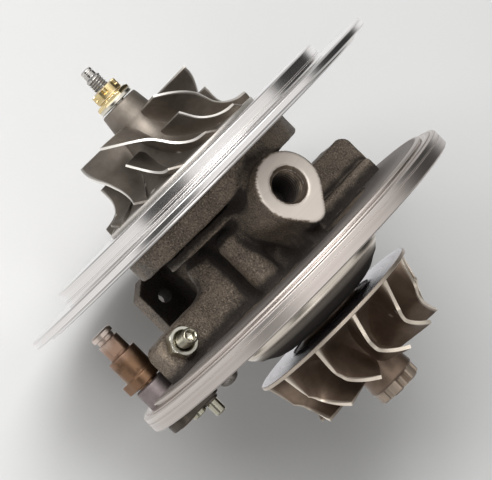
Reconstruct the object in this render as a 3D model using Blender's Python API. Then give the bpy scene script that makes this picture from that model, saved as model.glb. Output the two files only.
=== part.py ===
"""Turbocharger cartridge: centre housing and rotating assembly of a variable-nozzle turbo.

Lengths are in metres. The rotor turns about the X axis, with the compressor at -X and the
turbine at +X. X = 0 is the turbine side of the turbine flange. +Z is the oil inlet's side.
"""

from math import acos, atan2, cos, hypot, pi, radians, sin

import bmesh
import bpy
import numpy as np
from mathutils import Matrix, Vector

# Clearances
FIT_GAP = 0.0003
SEAL_GAP = 0.0004
RUNNING_GAP = 0.0005

# Rotor shaft
SHAFT_TIP_X = -0.0754
SHAFT_TIP_LENGTH = 0.0024
SHAFT_TIP_RADIUS = 0.0016
SHAFT_THREAD_RADIUS = 0.0021
SHAFT_WHEEL_RADIUS = 0.0026
JOURNAL_RADIUS = 0.0040
JOURNAL_START_X = -0.0265
JOURNAL_END_X = -0.0018
SEAL_HUB_RADIUS = 0.0072
SHAFT_END_X = 0.0077

# Compressor wheel
COMPRESSOR_NOSE_X = -0.0637
COMPRESSOR_BACK_X = -0.0407
COMPRESSOR_DISC_WIDTH = 0.0011
COMPRESSOR_TIP_RADIUS = 0.0245
COMPRESSOR_EYE_RADIUS = 0.0182
COMPRESSOR_NOSE_RADIUS = 0.0053
COMPRESSOR_HUB_RADIUS = 0.0060
FULL_BLADE_X = -0.0587
COMPRESSOR_OUTLET_WIDTH = 0.0020
COMPRESSOR_BLADES = 6
COMPRESSOR_BLADE_ROOT = 0.0012
COMPRESSOR_BLADE_EDGE = 0.0006
RIM_MARGIN = 0.0002
ROOT_SINK = 0.0005
THROAT_SHARE = 0.55
THROAT_BEND = 0.0052
SPLITTER_HUB_SHARE = 0.27
SPLITTER_TIP_SHARE = 0.40
BLADE_TURN = radians(118)
WRAP_SHARES = (0.0, 0.2, 0.4, 0.6, 0.8, 1.0)
HUB_WRAP = tuple(radians(a) for a in (32, 14, 0, -11, -22, -31.7))
TIP_WRAP = tuple(radians(a) for a in (36.8, 16, 0.5, -7, -16, -23.8))

# Lock nut
NUT_CROWN_X = -0.0693
NUT_CROWN_RADIUS = 0.0038
NUT_HEX_X = -0.0662
NUT_HEX_RADIUS = 0.0050

# Turbine wheel
TURBINE_DISC_X = 0.0110
TURBINE_DISC_WIDTH = 0.0010
TURBINE_DISC_RADIUS = 0.0246
TURBINE_NECK_RADIUS = 0.0091
TURBINE_INLET_X = 0.0194
TURBINE_INLET_RADIUS = 0.0218
TURBINE_OUTLET_X = 0.0277
TURBINE_OUTLET_RADIUS = 0.0200
TURBINE_HUB_RADIUS = 0.0064
TURBINE_HUB_END_X = 0.0324
TURBINE_NOSE_END_X = 0.0354
TURBINE_NOSE_RADIUS = 0.0062
TURBINE_BLADES = 12
TURBINE_BLADE_ROOT = 0.0016
TURBINE_BLADE_EDGE = 0.0010
TURBINE_HUB_WRAP = tuple(radians(a) for a in (-9.8, -9.8, -9.5, -9.5, -14, -24))
TURBINE_TIP_WRAP = tuple(radians(a) for a in (-5.8, -6.2, -7.2, -11.5, -17.5, -25.3))
TURBINE_TIP_DROP = (0.0, 0.56, 0.89, 1.1, 1.15, 1.0)

# Compressor backplate
RING_RADIUS = 0.0438
RING_FRONT_X = -0.0410
DISC_RADIUS = 0.0568
DISC_FRONT_X = -0.0370
DISC_BACK_X = -0.0349
STEP_RADIUS = 0.0527
PLATE_BACK_X = -0.0342
RELIEF_DEPTH = 0.0012
RELIEF_MARGIN = 0.0035
EDGE_CHAMFER = 0.0004

# Centre housing
SEAT_FLANGE_RADIUS = 0.0267
SEAT_FLANGE_WIDTH = 0.0058
NECK_RADIUS = 0.0172
TURBINE_RIM_STEP = 0.0038
TURBINE_RIM_WIDTH = 0.0046
FACE_BAND_WIDTH = 0.0024
FACE_RECESS_DEPTH = 0.0005
TURBINE_LAND_RADIUS = 0.0468
TURBINE_FLANGE_WIDTH = 0.0061
NECK_FILLET = 0.0040
CAST_DRAFT = 0.0015
CAST_OVERLAP = 0.0010
UPPER_SHOULDER_ANGLE = radians(138)
UPPER_SHOULDER_RADIUS = 0.0055
LOWER_SHOULDER_ANGLE = radians(165)
LOWER_SHOULDER_RADIUS = 0.0070
SHOULDER_START_X = -0.0235
NOSE_RADIUS = 0.0128
NOSE_LENGTH = 0.0058
THRUST_POCKET_INSET = 0.0112
THRUST_POCKET_DEPTH = 0.0050
BEARING_BORE_RADIUS = 0.0069

# Oil inlet boss and drain flange
INLET_X = -0.0211
INLET_RISE = 0.0053
INLET_BOSS_RADIUS = 0.0087
INLET_LOBE_X = -0.0130
INLET_LOBE_RADIUS = 0.0035
INLET_BORE_RADIUS = 0.0042
INLET_BORE_DEPTH = 0.0130
INLET_MOUTH = 0.0008
INLET_FEED_RADIUS = 0.0013
WEB_HALF_WIDTH = 0.0022
WEB_DROP = 0.0055
DRAIN_X = -0.0214
DRAIN_DROP = 0.0063
DRAIN_THICKNESS = 0.0060
DRAIN_START_X = -0.0288
DRAIN_END_X = -0.0100
DRAIN_HALF_WIDTH = 0.0202
DRAIN_CORNER = (0.0030, 0.0041)
DRAIN_NECK_HALF_WIDTH = 0.0105
DRAIN_BORE_RADIUS = 0.0060
DRAIN_BOLT_Y = 0.0150
DRAIN_BOLT_HOLE_RADIUS = 0.0033
GALLERY_HALF_WIDTH = 0.0045
GALLERY_COVER = 0.0045
GALLERY_HEIGHT = 0.0055
GALLERY_REACH = 0.0010
OIL_CHAMBER_DEPTH = 0.0020

# Lugs
FRONT_LUG_Y = -0.0410
FRONT_LUG_START_X = -0.0163
FRONT_LUG_TOP_Z = 0.0020
FRONT_LUG_THICKNESS = 0.0080
BACK_LUG_Y = 0.0380
BACK_LUG_START_X = -0.0187
BACK_LUG_TOP_Z = 0.0035
BACK_LUG_THICKNESS = 0.0120
BACK_RIB_START_X = -0.0105
BACK_RIB_STEP = 0.0035
LUG_CORNER = 0.0030

# Stop screw
STOP_X = -0.0122
STOP_Y = -0.0355
STOP_SCREW_RADIUS = 0.0020
STOP_SCREW_TOP_Z = 0.0100
STOP_SCREW_TIP_Z = -0.0082
STOP_SOCKET_RADIUS = 0.0012
STOP_SOCKET_DEPTH = 0.0022
STOP_NUT_FLATS = 0.0070
STOP_NUT_HEIGHT = 0.0030

# Vane crank
CRANK_Y = -0.0410
CRANK_Z = -0.0140
CRANK_RADIUS = 0.0030
CRANK_TIP_X = -0.0274
CRANK_END_X = 0.0036
CRANK_GROOVE_X = -0.0258
CRANK_GROOVE_WIDTH = 0.0011
CRANK_GROOVE_RADIUS = 0.0024
CRANK_FLAT_HEIGHT = 0.0025
CRANK_FLAT_ANGLE = radians(28)
CRANK_BUSH_RADIUS = 0.0044
CRANK_BUSH_START_X = -0.0102
CRANK_BUSH_END_X = 0.0004
LEVER_START_X = -0.0200
LEVER_SLEEVE_RADIUS = 0.0042
LEVER_PLATE_X = -0.0136
LEVER_PLATE_WIDTH = 0.0029
LEVER_TAB_RADIUS = 0.0026
LEVER_TAB_LENGTH = 0.0036
LEVER_TAB_ANGLE = radians(-130)
ARM_START_X = 0.0007
ARM_THICKNESS = 0.0026
ARM_LENGTH = 0.0074
ARM_HUB_RADIUS = 0.0046
ARM_TIP_RADIUS = 0.0032
ARM_BOSS_RADIUS = 0.0020
ARM_BOSS_HEIGHT = 0.0013
ARM_STUD_SHARE = 0.45
PIN_BOSS_HEIGHT = 0.0008
PIN_RADIUS = 0.0016
PIN_END_X = 0.0078

# Heat shield
SHIELD_BASE_RADIUS = 0.0222
SHIELD_WALL = 0.0009
SHIELD_SHOULDER_X = 0.0039
SHIELD_FRONT_X = 0.0092
SHIELD_FACE_RADIUS = 0.0128
SHIELD_STEP_X = 0.0063
SHIELD_STEP_RADIUS = 0.0197
SHIELD_SEAT_HEIGHT = 0.0015

# Face dowel
DOWEL_Y = -0.0274
DOWEL_Z = -0.0089
DOWEL_RADIUS = 0.0027
DOWEL_HEIGHT = 0.0047
DOWEL_DOME_HEIGHT = 0.0018
DOWEL_DEPTH = 0.0035

# Bearings, seals and screws inside
BEARING_START_X = -0.0258
BEARING_END_X = -0.0050
BEARING_WAIST_RADIUS = 0.0060
BEARING_LAND_LENGTH = 0.0066
BEARING_RELIEF = 0.0006
BEARING_PIN_X = -0.0145
BEARING_PIN_RADIUS = 0.0015
BEARING_PIN_BOTTOM_Z = -0.0108
THRUST_PLATE_WIDTH = 0.0022
THRUST_SLOT_HALF_WIDTH = 0.0062
COLLAR_FLANGE_RADIUS = 0.0084
COLLAR_WAIST_RADIUS = 0.0056
COLLAR_FLANGE_WIDTH = 0.0017
COLLAR_LAND_END_X = -0.0369
COLLAR_LAND_RADIUS = 0.0072
DEFLECTOR_WIDTH = 0.0008
RING_WIDTH = 0.0010
RING_GROOVE_DEPTH = 0.0014
RING_SIDE_GAP = 0.0002
TURBINE_GROOVE_X = 0.0015
COMPRESSOR_GROOVE_X = -0.0392
RING_BUTT_ANGLE = radians(4)
SEAL_RING_INSET = 0.0025
SEAL_RING_SECTION = 0.0006
SCREW_CIRCLE_INSET = 0.0067
SCREW_HEAD_RADIUS = 0.0043
SCREW_RADIUS = 0.0022
SCREW_LENGTH = 0.0094
SCREW_COUNT = 4
SCREW_HEAD_LIP = 0.0003
SCREW_SOCKET_RADIUS = 0.0014
SCREW_SOCKET_DEPTH = 0.0015

# Sizes that follow from the ones above
TURBINE_FLANGE_RADIUS = TURBINE_LAND_RADIUS + TURBINE_RIM_STEP
FACE_RECESS_RADIUS = TURBINE_FLANGE_RADIUS - FACE_BAND_WIDTH
SEAL_RING_RADIUS = SEAT_FLANGE_RADIUS - SEAL_RING_INSET
SCREW_CIRCLE_RADIUS = SEAT_FLANGE_RADIUS - SCREW_CIRCLE_INSET
THRUST_POCKET_RADIUS = SEAT_FLANGE_RADIUS - THRUST_POCKET_INSET
INLET_TOP_Z = SEAT_FLANGE_RADIUS + INLET_RISE
WEB_TOP_Z = INLET_TOP_Z - WEB_DROP
DRAIN_BOTTOM_Z = -SEAT_FLANGE_RADIUS - DRAIN_DROP

# Steps round a circle
FINE_STEPS = 54
ROUND_STEPS = 30
SMALL_STEPS = 16
TINY_STEPS = 12
BLADE_STEPS = 6
BLADE_SPAN_STEPS = 2


def clear_scene():
    for obj in list(bpy.data.objects):
        bpy.data.objects.remove(obj, do_unlink=True)


def add_mesh(name, vertices, faces, smooth_angle=radians(35)):
    """Adds a closed body whose faces all look outwards."""
    mesh = bpy.data.meshes.new(name)
    mesh.from_pydata([tuple(v) for v in vertices], [], faces)
    work = bmesh.new()
    work.from_mesh(mesh)
    bmesh.ops.recalc_face_normals(work, faces=work.faces)
    work.to_mesh(mesh)
    work.free()
    mesh.shade_smooth()
    mesh.set_sharp_from_angle(angle=smooth_angle)
    obj = bpy.data.objects.new(name, mesh)
    bpy.context.scene.collection.objects.link(obj)
    return obj


def revolve(name, profile, steps, axis=(0.0, 0.0)):
    """Turns (x, radius) points about the line through axis = (y, z) along X.

    A profile that starts and ends at radius 0 makes a solid. Any other is a closed loop and
    makes a ring.
    """
    rings = []
    vertices = []
    angles = [2 * pi * k / steps for k in range(steps)]
    for x, radius in profile:
        if radius == 0:
            rings.append([len(vertices)])
            vertices.append((x, axis[0], axis[1]))
            continue
        rings.append(range(len(vertices), len(vertices) + steps))
        vertices += [(x, axis[0] + radius * cos(a), axis[1] + radius * sin(a)) for a in angles]
    closed = profile[0][1] > 0
    pairs = list(zip(rings, rings[1:]))
    if closed:
        pairs.append((rings[-1], rings[0]))
    faces = []
    for one, two in pairs:
        for k in range(steps):
            after = (k + 1) % steps
            if len(one) == 1 and len(two) == 1:
                continue
            if len(one) == 1:
                faces.append((one[0], two[after], two[k]))
            elif len(two) == 1:
                faces.append((one[k], one[after], two[0]))
            else:
                faces.append((one[k], one[after], two[after], two[k]))
    return add_mesh(name, vertices, faces)


def split_ring(name, low_x, high_x, inner, outer, steps, butt_angle):
    """A ring of rectangular section with a butt gap on its +Z side."""
    vertices = []
    for k in range(steps + 1):
        angle = pi / 2 + butt_angle / 2 + (2 * pi - butt_angle) * k / steps
        for x, radius in ((low_x, inner), (high_x, inner), (high_x, outer), (low_x, outer)):
            vertices.append((x, radius * cos(angle), radius * sin(angle)))
    faces = [(0, 1, 2, 3), tuple(4 * steps + k for k in (3, 2, 1, 0))]
    for k in range(steps):
        for side in range(4):
            after = (side + 1) % 4
            faces.append((4 * k + side, 4 * k + after, 4 * k + 4 + after, 4 * k + 4 + side))
    return add_mesh(name, vertices, faces)


def prism(name, outline, low, high, direction="Z"):
    """Raises an outline from low to high: along Z it holds (x, y), along X it holds (y, z)."""
    count = len(outline)
    vertices = []
    for level in (low, high):
        for a, b in outline:
            vertices.append((a, b, level) if direction == "Z" else (level, a, b))
    faces = [tuple(range(count)), tuple(range(count, 2 * count))]
    for k in range(count):
        after = (k + 1) % count
        faces.append((k, after, count + after, count + k))
    return add_mesh(name, vertices, faces)


def loft(name, low_outline, high_outline, low, high):
    """Joins two outlines of (x, y) with equal counts, one at the height low and one at high."""
    count = len(low_outline)
    vertices = [(x, y, low) for x, y in low_outline] + [(x, y, high) for x, y in high_outline]
    faces = [tuple(range(count)), tuple(range(count, 2 * count))]
    for k in range(count):
        after = (k + 1) % count
        faces.append((k, after, count + after, count + k))
    return add_mesh(name, vertices, faces)


def box(name, low, high):
    outline = ((low[0], low[1]), (high[0], low[1]), (high[0], high[1]), (low[0], high[1]))
    return prism(name, outline, low[2], high[2])


def circle(centre, radius, steps, start=0.0):
    angles = [start + 2 * pi * k / steps for k in range(steps)]
    return [(centre[0] + radius * cos(a), centre[1] + radius * sin(a)) for a in angles]


def tangent_outline(centre_a, radius_a, centre_b, radius_b, steps):
    """The outline of two circles and the straight tangents that join them."""
    along = atan2(centre_b[1] - centre_a[1], centre_b[0] - centre_a[0])
    distance = hypot(centre_b[0] - centre_a[0], centre_b[1] - centre_a[1])
    spread = acos((radius_a - radius_b) / distance)
    outline = []
    for k in range(steps + 1):
        angle = along + spread + (2 * pi - 2 * spread) * k / steps
        outline.append((centre_a[0] + radius_a * cos(angle), centre_a[1] + radius_a * sin(angle)))
    for k in range(steps + 1):
        angle = along - spread + 2 * spread * k / steps
        outline.append((centre_b[0] + radius_b * cos(angle), centre_b[1] + radius_b * sin(angle)))
    return outline


def rounded_outline(low, high, corners, steps=5):
    """A rectangle whose corners have the radii (low-low, high-low, high-high, low-high)."""
    places = ((low[0], low[1], 1, 1, pi), (high[0], low[1], -1, 1, 1.5 * pi),
              (high[0], high[1], -1, -1, 0.0), (low[0], high[1], 1, -1, 0.5 * pi))
    outline = []
    for (x, y, inward_x, inward_y, start), radius in zip(places, corners):
        if radius == 0:
            outline.append((x, y))
            continue
        centre = (x + inward_x * radius, y + inward_y * radius)
        for k in range(steps + 1):
            angle = start + 0.5 * pi * k / steps
            outline.append((centre[0] + radius * cos(angle), centre[1] + radius * sin(angle)))
    return outline


def drill(name, centre, low, high, radius, steps, direction="Z"):
    """A round cutter along Z, X or Y. The centre holds the other two coordinates."""
    outline = circle(centre, radius, steps)
    if direction == "Y":
        cutter = prism(name, outline, low, high, "Z")
        cutter.data.transform(Matrix(((1, 0, 0, 0), (0, 0, 1, 0), (0, 1, 0, 0), (0, 0, 0, 1))))
        cutter.data.flip_normals()
        return cutter
    return prism(name, outline, low, high, direction)


def combine(obj, operand, operation):
    """Adds an exact Boolean with the operand, which is kept as a hidden wire."""
    modifier = obj.modifiers.new(operand.name, "BOOLEAN")
    modifier.operation = operation
    modifier.solver = "EXACT"
    modifier.object = operand
    operand.hide_render = True
    operand.hide_viewport = False
    operand.display_type = "WIRE"


def settle(obj):
    """Turns the object's modifiers into its mesh and deletes the operands."""
    operands = [modifier.object for modifier in obj.modifiers if modifier.type == "BOOLEAN"]
    bpy.context.view_layer.update()
    depsgraph = bpy.context.evaluated_depsgraph_get()
    mesh = bpy.data.meshes.new_from_object(obj.evaluated_get(depsgraph), depsgraph=depsgraph)
    obj.modifiers.clear()
    old = obj.data
    obj.data = mesh
    bpy.data.meshes.remove(old)
    for operand in operands:
        bpy.data.objects.remove(operand, do_unlink=True)
    work = bmesh.new()
    work.from_mesh(mesh)
    bmesh.ops.remove_doubles(work, verts=work.verts, dist=1e-7)
    bmesh.ops.dissolve_degenerate(work, edges=work.edges, dist=1e-7)
    work.to_mesh(mesh)
    work.free()
    mesh.shade_smooth()
    mesh.set_sharp_from_angle(angle=radians(35))


def place(obj, origin):
    """Moves the object's origin to a point and leaves its shape where it is."""
    obj.data.transform(Matrix.Translation(-Vector(origin)))
    obj.location = origin


def paint(obj, colour, roughness, metallic):
    material = bpy.data.materials.new(obj.name)
    material.use_nodes = True
    shader = material.node_tree.nodes["Principled BSDF"]
    shader.inputs["Base Color"].default_value = (*colour, 1.0)
    shader.inputs["Roughness"].default_value = roughness
    shader.inputs["Metallic"].default_value = metallic
    material.diffuse_color = (*colour, 1.0)
    obj.data.materials.clear()
    obj.data.materials.append(material)


def sample(stations, values, at):
    """Values at even steps of a path given by a few stations, with rounded bends between."""
    stations = np.asarray(stations, float)
    values = np.asarray(values, float)
    slopes = np.gradient(values, stations)
    index = np.clip(np.searchsorted(stations, at) - 1, 0, len(stations) - 2)
    span = stations[index + 1] - stations[index]
    t = (at - stations[index]) / span
    return ((2 * t**3 - 3 * t**2 + 1) * values[index] + (t**3 - 2 * t**2 + t) * span * slopes[index]
            + (3 * t**2 - 2 * t**3) * values[index + 1] + (t**3 - t**2) * span * slopes[index + 1])


def blade_row(name, count, hub, tip, root_width, edge_width, turn, along_steps, span_steps):
    """Blades between a hub line and a tip line, each line an array of rows (x, radius, angle).

    The middle surface joins the two lines. It is thickened across the radius and the blade's
    own slant, from root_width at the hub to edge_width at the tip.
    """
    along = np.linspace(0, 1, along_steps + 1)
    stations = np.linspace(0, 1, len(hub))
    hub = np.stack([sample(stations, hub[:, k], along) for k in range(3)], axis=1)
    tip = np.stack([sample(stations, tip[:, k], along) for k in range(3)], axis=1)
    share = np.linspace(0, 1, span_steps + 1)[None, :, None]
    middle = hub[:, None, :] * (1 - share) + tip[:, None, :] * share
    x, radius, angle = middle[..., 0], middle[..., 1], middle[..., 2]
    points = np.stack([x, radius * np.cos(angle), radius * np.sin(angle)], axis=-1)
    down = np.gradient(points, axis=0)
    out = np.gradient(points, axis=1)
    normal = np.cross(down, out)
    normal /= np.linalg.norm(normal, axis=-1, keepdims=True)
    width = root_width * (1 - share) + edge_width * share
    sides = [points + normal * width / 2, points - normal * width / 2]
    rows, columns = points.shape[:2]
    size = rows * columns
    faces = []
    for i in range(rows - 1):
        for j in range(columns - 1):
            a = i * columns + j
            faces.append((a, a + 1, a + columns + 1, a + columns))
            faces.append((size + a, size + a + columns, size + a + columns + 1, size + a + 1))
    rim = [i * columns for i in range(rows)]
    rim += [(rows - 1) * columns + j for j in range(1, columns)]
    rim += [i * columns + columns - 1 for i in range(rows - 2, -1, -1)]
    rim += [j for j in range(columns - 2, 0, -1)]
    for k, a in enumerate(rim):
        b = rim[(k + 1) % len(rim)]
        faces.append((a, b, size + b, size + a))
    one = np.concatenate([side.reshape(-1, 3) for side in sides])
    vertices = []
    all_faces = []
    for k in range(count):
        spin = turn + 2 * pi * k / count
        rotation = np.array(((1, 0, 0), (0, cos(spin), -sin(spin)), (0, sin(spin), cos(spin))))
        offset = k * 2 * size
        vertices.append(one @ rotation.T)
        all_faces += [tuple(offset + index for index in face) for face in faces]
    return add_mesh(name, np.concatenate(vertices), all_faces)


def quarter(start, end, share, axial_first=True):
    """A point on a quarter ellipse from start to end, each (x, radius)."""
    t = share * pi / 2
    if axial_first:
        return (start[0] + (end[0] - start[0]) * sin(t), start[1] + (end[1] - start[1]) * (1 - cos(t)))
    return (start[0] + (end[0] - start[0]) * (1 - cos(t)), start[1] + (end[1] - start[1]) * sin(t))


def ring_groove(start_x, land_radius):
    """The four profile points of a piston ring's groove in a land."""
    end_x = start_x + RING_WIDTH + 2 * RING_SIDE_GAP
    floor = land_radius - RING_GROOVE_DEPTH
    return [(start_x, land_radius), (start_x, floor), (end_x, floor), (end_x, land_radius)]


def build_rotor_shaft():
    thread_x = SHAFT_TIP_X + SHAFT_TIP_LENGTH
    wheel_x = COMPRESSOR_NOSE_X + FIT_GAP
    profile = [
        (SHAFT_TIP_X, 0), (SHAFT_TIP_X, SHAFT_TIP_RADIUS - EDGE_CHAMFER),
        (SHAFT_TIP_X + EDGE_CHAMFER, SHAFT_TIP_RADIUS), (thread_x, SHAFT_TIP_RADIUS),
        (thread_x, SHAFT_THREAD_RADIUS), (wheel_x, SHAFT_THREAD_RADIUS), (wheel_x, SHAFT_WHEEL_RADIUS),
        (JOURNAL_START_X, SHAFT_WHEEL_RADIUS), (JOURNAL_START_X, JOURNAL_RADIUS),
        (JOURNAL_END_X, JOURNAL_RADIUS), (JOURNAL_END_X, SEAL_HUB_RADIUS),
    ]
    profile += ring_groove(TURBINE_GROOVE_X, SEAL_HUB_RADIUS)
    profile += [(SHAFT_END_X, SEAL_HUB_RADIUS), (SHAFT_END_X, 0)]
    shaft = revolve("rotor_shaft", profile, ROUND_STEPS)
    paint(shaft, (0.52, 0.51, 0.50), 0.28, 1.0)
    return shaft


def compressor_hub_point(share):
    start = (FULL_BLADE_X, COMPRESSOR_HUB_RADIUS)
    end = (COMPRESSOR_BACK_X - COMPRESSOR_DISC_WIDTH, COMPRESSOR_TIP_RADIUS)
    return quarter(start, end, share)


def sunk(point_at, share, depth):
    """The point of a hub line moved into the hub by depth, across the line."""
    step = 0.01
    x, radius = point_at(share)
    before = point_at(max(share - step, 0))
    after = point_at(min(share + step, 1))
    run = (after[0] - before[0], after[1] - before[1])
    length = hypot(*run)
    return (x + depth * abs(run[1]) / length * (1 if run[1] > 0 else -1),
            radius - depth * abs(run[0]) / length)


def compressor_blades(name, hub_start, tip_start, turn):
    """Blades from the start shares of the passage to the outlet.

    The tip line follows the throat of the compressor housing.
    """
    outlet_x = COMPRESSOR_BACK_X - COMPRESSOR_DISC_WIDTH - COMPRESSOR_OUTLET_WIDTH
    bend_x = outlet_x - THROAT_BEND
    blade_radius = COMPRESSOR_TIP_RADIUS - RIM_MARGIN
    hub = []
    tip = []
    for share in np.linspace(hub_start, 1, 6):
        x, radius = sunk(compressor_hub_point, share, ROOT_SINK)
        hub.append((x, min(radius, blade_radius), np.interp(share, WRAP_SHARES, HUB_WRAP)))
    for share in np.linspace(tip_start, 1, 6):
        if share < THROAT_SHARE:
            x = FULL_BLADE_X + (bend_x - FULL_BLADE_X) * share / THROAT_SHARE
            radius = COMPRESSOR_EYE_RADIUS
        else:
            bend = (share - THROAT_SHARE) / (1 - THROAT_SHARE)
            x, radius = quarter((bend_x, COMPRESSOR_EYE_RADIUS), (outlet_x, blade_radius), bend)
        tip.append((x, radius, np.interp(share, WRAP_SHARES, TIP_WRAP)))
    return blade_row(name, COMPRESSOR_BLADES, np.array(hub), np.array(tip), COMPRESSOR_BLADE_ROOT,
                     COMPRESSOR_BLADE_EDGE, turn, BLADE_STEPS, BLADE_SPAN_STEPS)


def build_compressor_wheel():
    bore = SHAFT_WHEEL_RADIUS + FIT_GAP
    disc_x = COMPRESSOR_BACK_X - COMPRESSOR_DISC_WIDTH
    profile = [
        (COMPRESSOR_NOSE_X, bore), (COMPRESSOR_NOSE_X, COMPRESSOR_NOSE_RADIUS - EDGE_CHAMFER),
        (COMPRESSOR_NOSE_X + EDGE_CHAMFER, COMPRESSOR_NOSE_RADIUS),
    ]
    profile += [compressor_hub_point(k / 10) for k in range(10)]
    profile += [
        (disc_x, COMPRESSOR_TIP_RADIUS), (COMPRESSOR_BACK_X, COMPRESSOR_TIP_RADIUS),
        (COMPRESSOR_BACK_X, bore),
    ]
    wheel = revolve("compressor_wheel", profile, ROUND_STEPS)
    combine(wheel, compressor_blades("full_blades", 0.0, 0.0, BLADE_TURN), "UNION")
    splitter_turn = BLADE_TURN + pi / COMPRESSOR_BLADES
    splitters = compressor_blades("splitters", SPLITTER_HUB_SHARE, SPLITTER_TIP_SHARE, splitter_turn)
    combine(wheel, splitters, "UNION")
    settle(wheel)
    paint(wheel, (0.50, 0.46, 0.43), 0.38, 1.0)
    return wheel


def build_lock_nut():
    back_x = COMPRESSOR_NOSE_X - FIT_GAP
    bore = SHAFT_THREAD_RADIUS + FIT_GAP
    nut = prism("lock_nut", circle((0, 0), NUT_HEX_RADIUS, 6), NUT_HEX_X, back_x, "X")
    crown = prism("crown", circle((0, 0), NUT_CROWN_RADIUS, 12, pi / 12), NUT_CROWN_X,
                  NUT_HEX_X + 0.5 * (back_x - NUT_HEX_X), "X")
    combine(nut, crown, "UNION")
    cut = drill("nut_bore", (0, 0), NUT_CROWN_X - FIT_GAP, back_x + FIT_GAP, bore, SMALL_STEPS, "X")
    combine(nut, cut, "DIFFERENCE")
    settle(nut)
    paint(nut, (0.83, 0.62, 0.30), 0.25, 1.0)
    return nut


def turbine_hub_point(share):
    start = (TURBINE_DISC_X + TURBINE_DISC_WIDTH, TURBINE_DISC_RADIUS - RIM_MARGIN)
    end = (TURBINE_OUTLET_X, TURBINE_HUB_RADIUS)
    return quarter(start, end, share, axial_first=False)


def build_turbine_wheel():
    back_x = SHAFT_END_X + FIT_GAP
    front_x = TURBINE_DISC_X + TURBINE_DISC_WIDTH
    profile = [
        (back_x, 0), (back_x, TURBINE_NECK_RADIUS), (TURBINE_DISC_X, TURBINE_NECK_RADIUS),
        (TURBINE_DISC_X, TURBINE_DISC_RADIUS), (front_x, TURBINE_DISC_RADIUS),
    ]
    profile += [turbine_hub_point(k / 9) for k in range(1, 10)]
    profile += [
        (TURBINE_HUB_END_X, TURBINE_HUB_RADIUS), (TURBINE_HUB_END_X, 0),
    ]
    wheel = revolve("turbine_wheel", profile, ROUND_STEPS)
    hub = []
    for share, wrap in zip(np.linspace(0, 1, 6), TURBINE_HUB_WRAP):
        x, radius = turbine_hub_point(share)
        slope = share * pi / 2
        hub.append((x - ROOT_SINK * cos(slope), radius - ROOT_SINK * sin(slope), wrap))
    tip = []
    for share, drop, wrap in zip(np.linspace(0, 1, 6), TURBINE_TIP_DROP, TURBINE_TIP_WRAP):
        x = TURBINE_INLET_X + (TURBINE_OUTLET_X - TURBINE_INLET_X) * share
        radius = TURBINE_INLET_RADIUS + (TURBINE_OUTLET_RADIUS - TURBINE_INLET_RADIUS) * drop
        tip.append((x, radius, wrap))
    blades = blade_row("turbine_blades", TURBINE_BLADES, np.array(hub), np.array(tip),
                       TURBINE_BLADE_ROOT, TURBINE_BLADE_EDGE, BLADE_TURN, BLADE_STEPS, BLADE_SPAN_STEPS)
    combine(wheel, blades, "UNION")
    nose_start = TURBINE_HUB_END_X - TURBINE_NOSE_RADIUS / 2
    nose = prism("nose", circle((0, 0), TURBINE_NOSE_RADIUS, 6, BLADE_TURN), nose_start,
                 TURBINE_NOSE_END_X, "X")
    combine(wheel, nose, "UNION")
    settle(wheel)
    paint(wheel, (0.27, 0.22, 0.18), 0.42, 1.0)
    return wheel


def screw_places():
    for k in range(SCREW_COUNT):
        angle = pi / SCREW_COUNT + 2 * pi * k / SCREW_COUNT
        yield k, SCREW_CIRCLE_RADIUS * cos(angle), SCREW_CIRCLE_RADIUS * sin(angle)


def wheel_recess_x():
    return COMPRESSOR_BACK_X + RUNNING_GAP


def countersunk_profile(gap):
    """A countersunk screw, or with a gap the hole that takes it."""
    head_x = wheel_recess_x() + FIT_GAP - gap
    cone_end = head_x + SCREW_HEAD_RADIUS - SCREW_RADIUS + SCREW_HEAD_LIP + gap
    end_x = wheel_recess_x() + FIT_GAP + SCREW_LENGTH + gap
    return [
        (head_x - gap, 0), (head_x - gap, SCREW_HEAD_RADIUS + gap),
        (head_x + SCREW_HEAD_LIP, SCREW_HEAD_RADIUS + gap), (cone_end, SCREW_RADIUS + gap),
        (end_x, SCREW_RADIUS + gap), (end_x, 0),
    ]


def build_backplate_screw(index, y, z):
    screw = revolve(f"backplate_screw_{index + 1}", countersunk_profile(0.0), SMALL_STEPS, (y, z))
    head_x = wheel_recess_x() + FIT_GAP
    socket = prism("socket", circle((y, z), SCREW_SOCKET_RADIUS, 6), head_x - SCREW_SOCKET_DEPTH,
                   head_x + SCREW_SOCKET_DEPTH, "X")
    combine(screw, socket, "DIFFERENCE")
    settle(screw)
    paint(screw, (0.30, 0.29, 0.28), 0.35, 1.0)
    return screw


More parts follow.
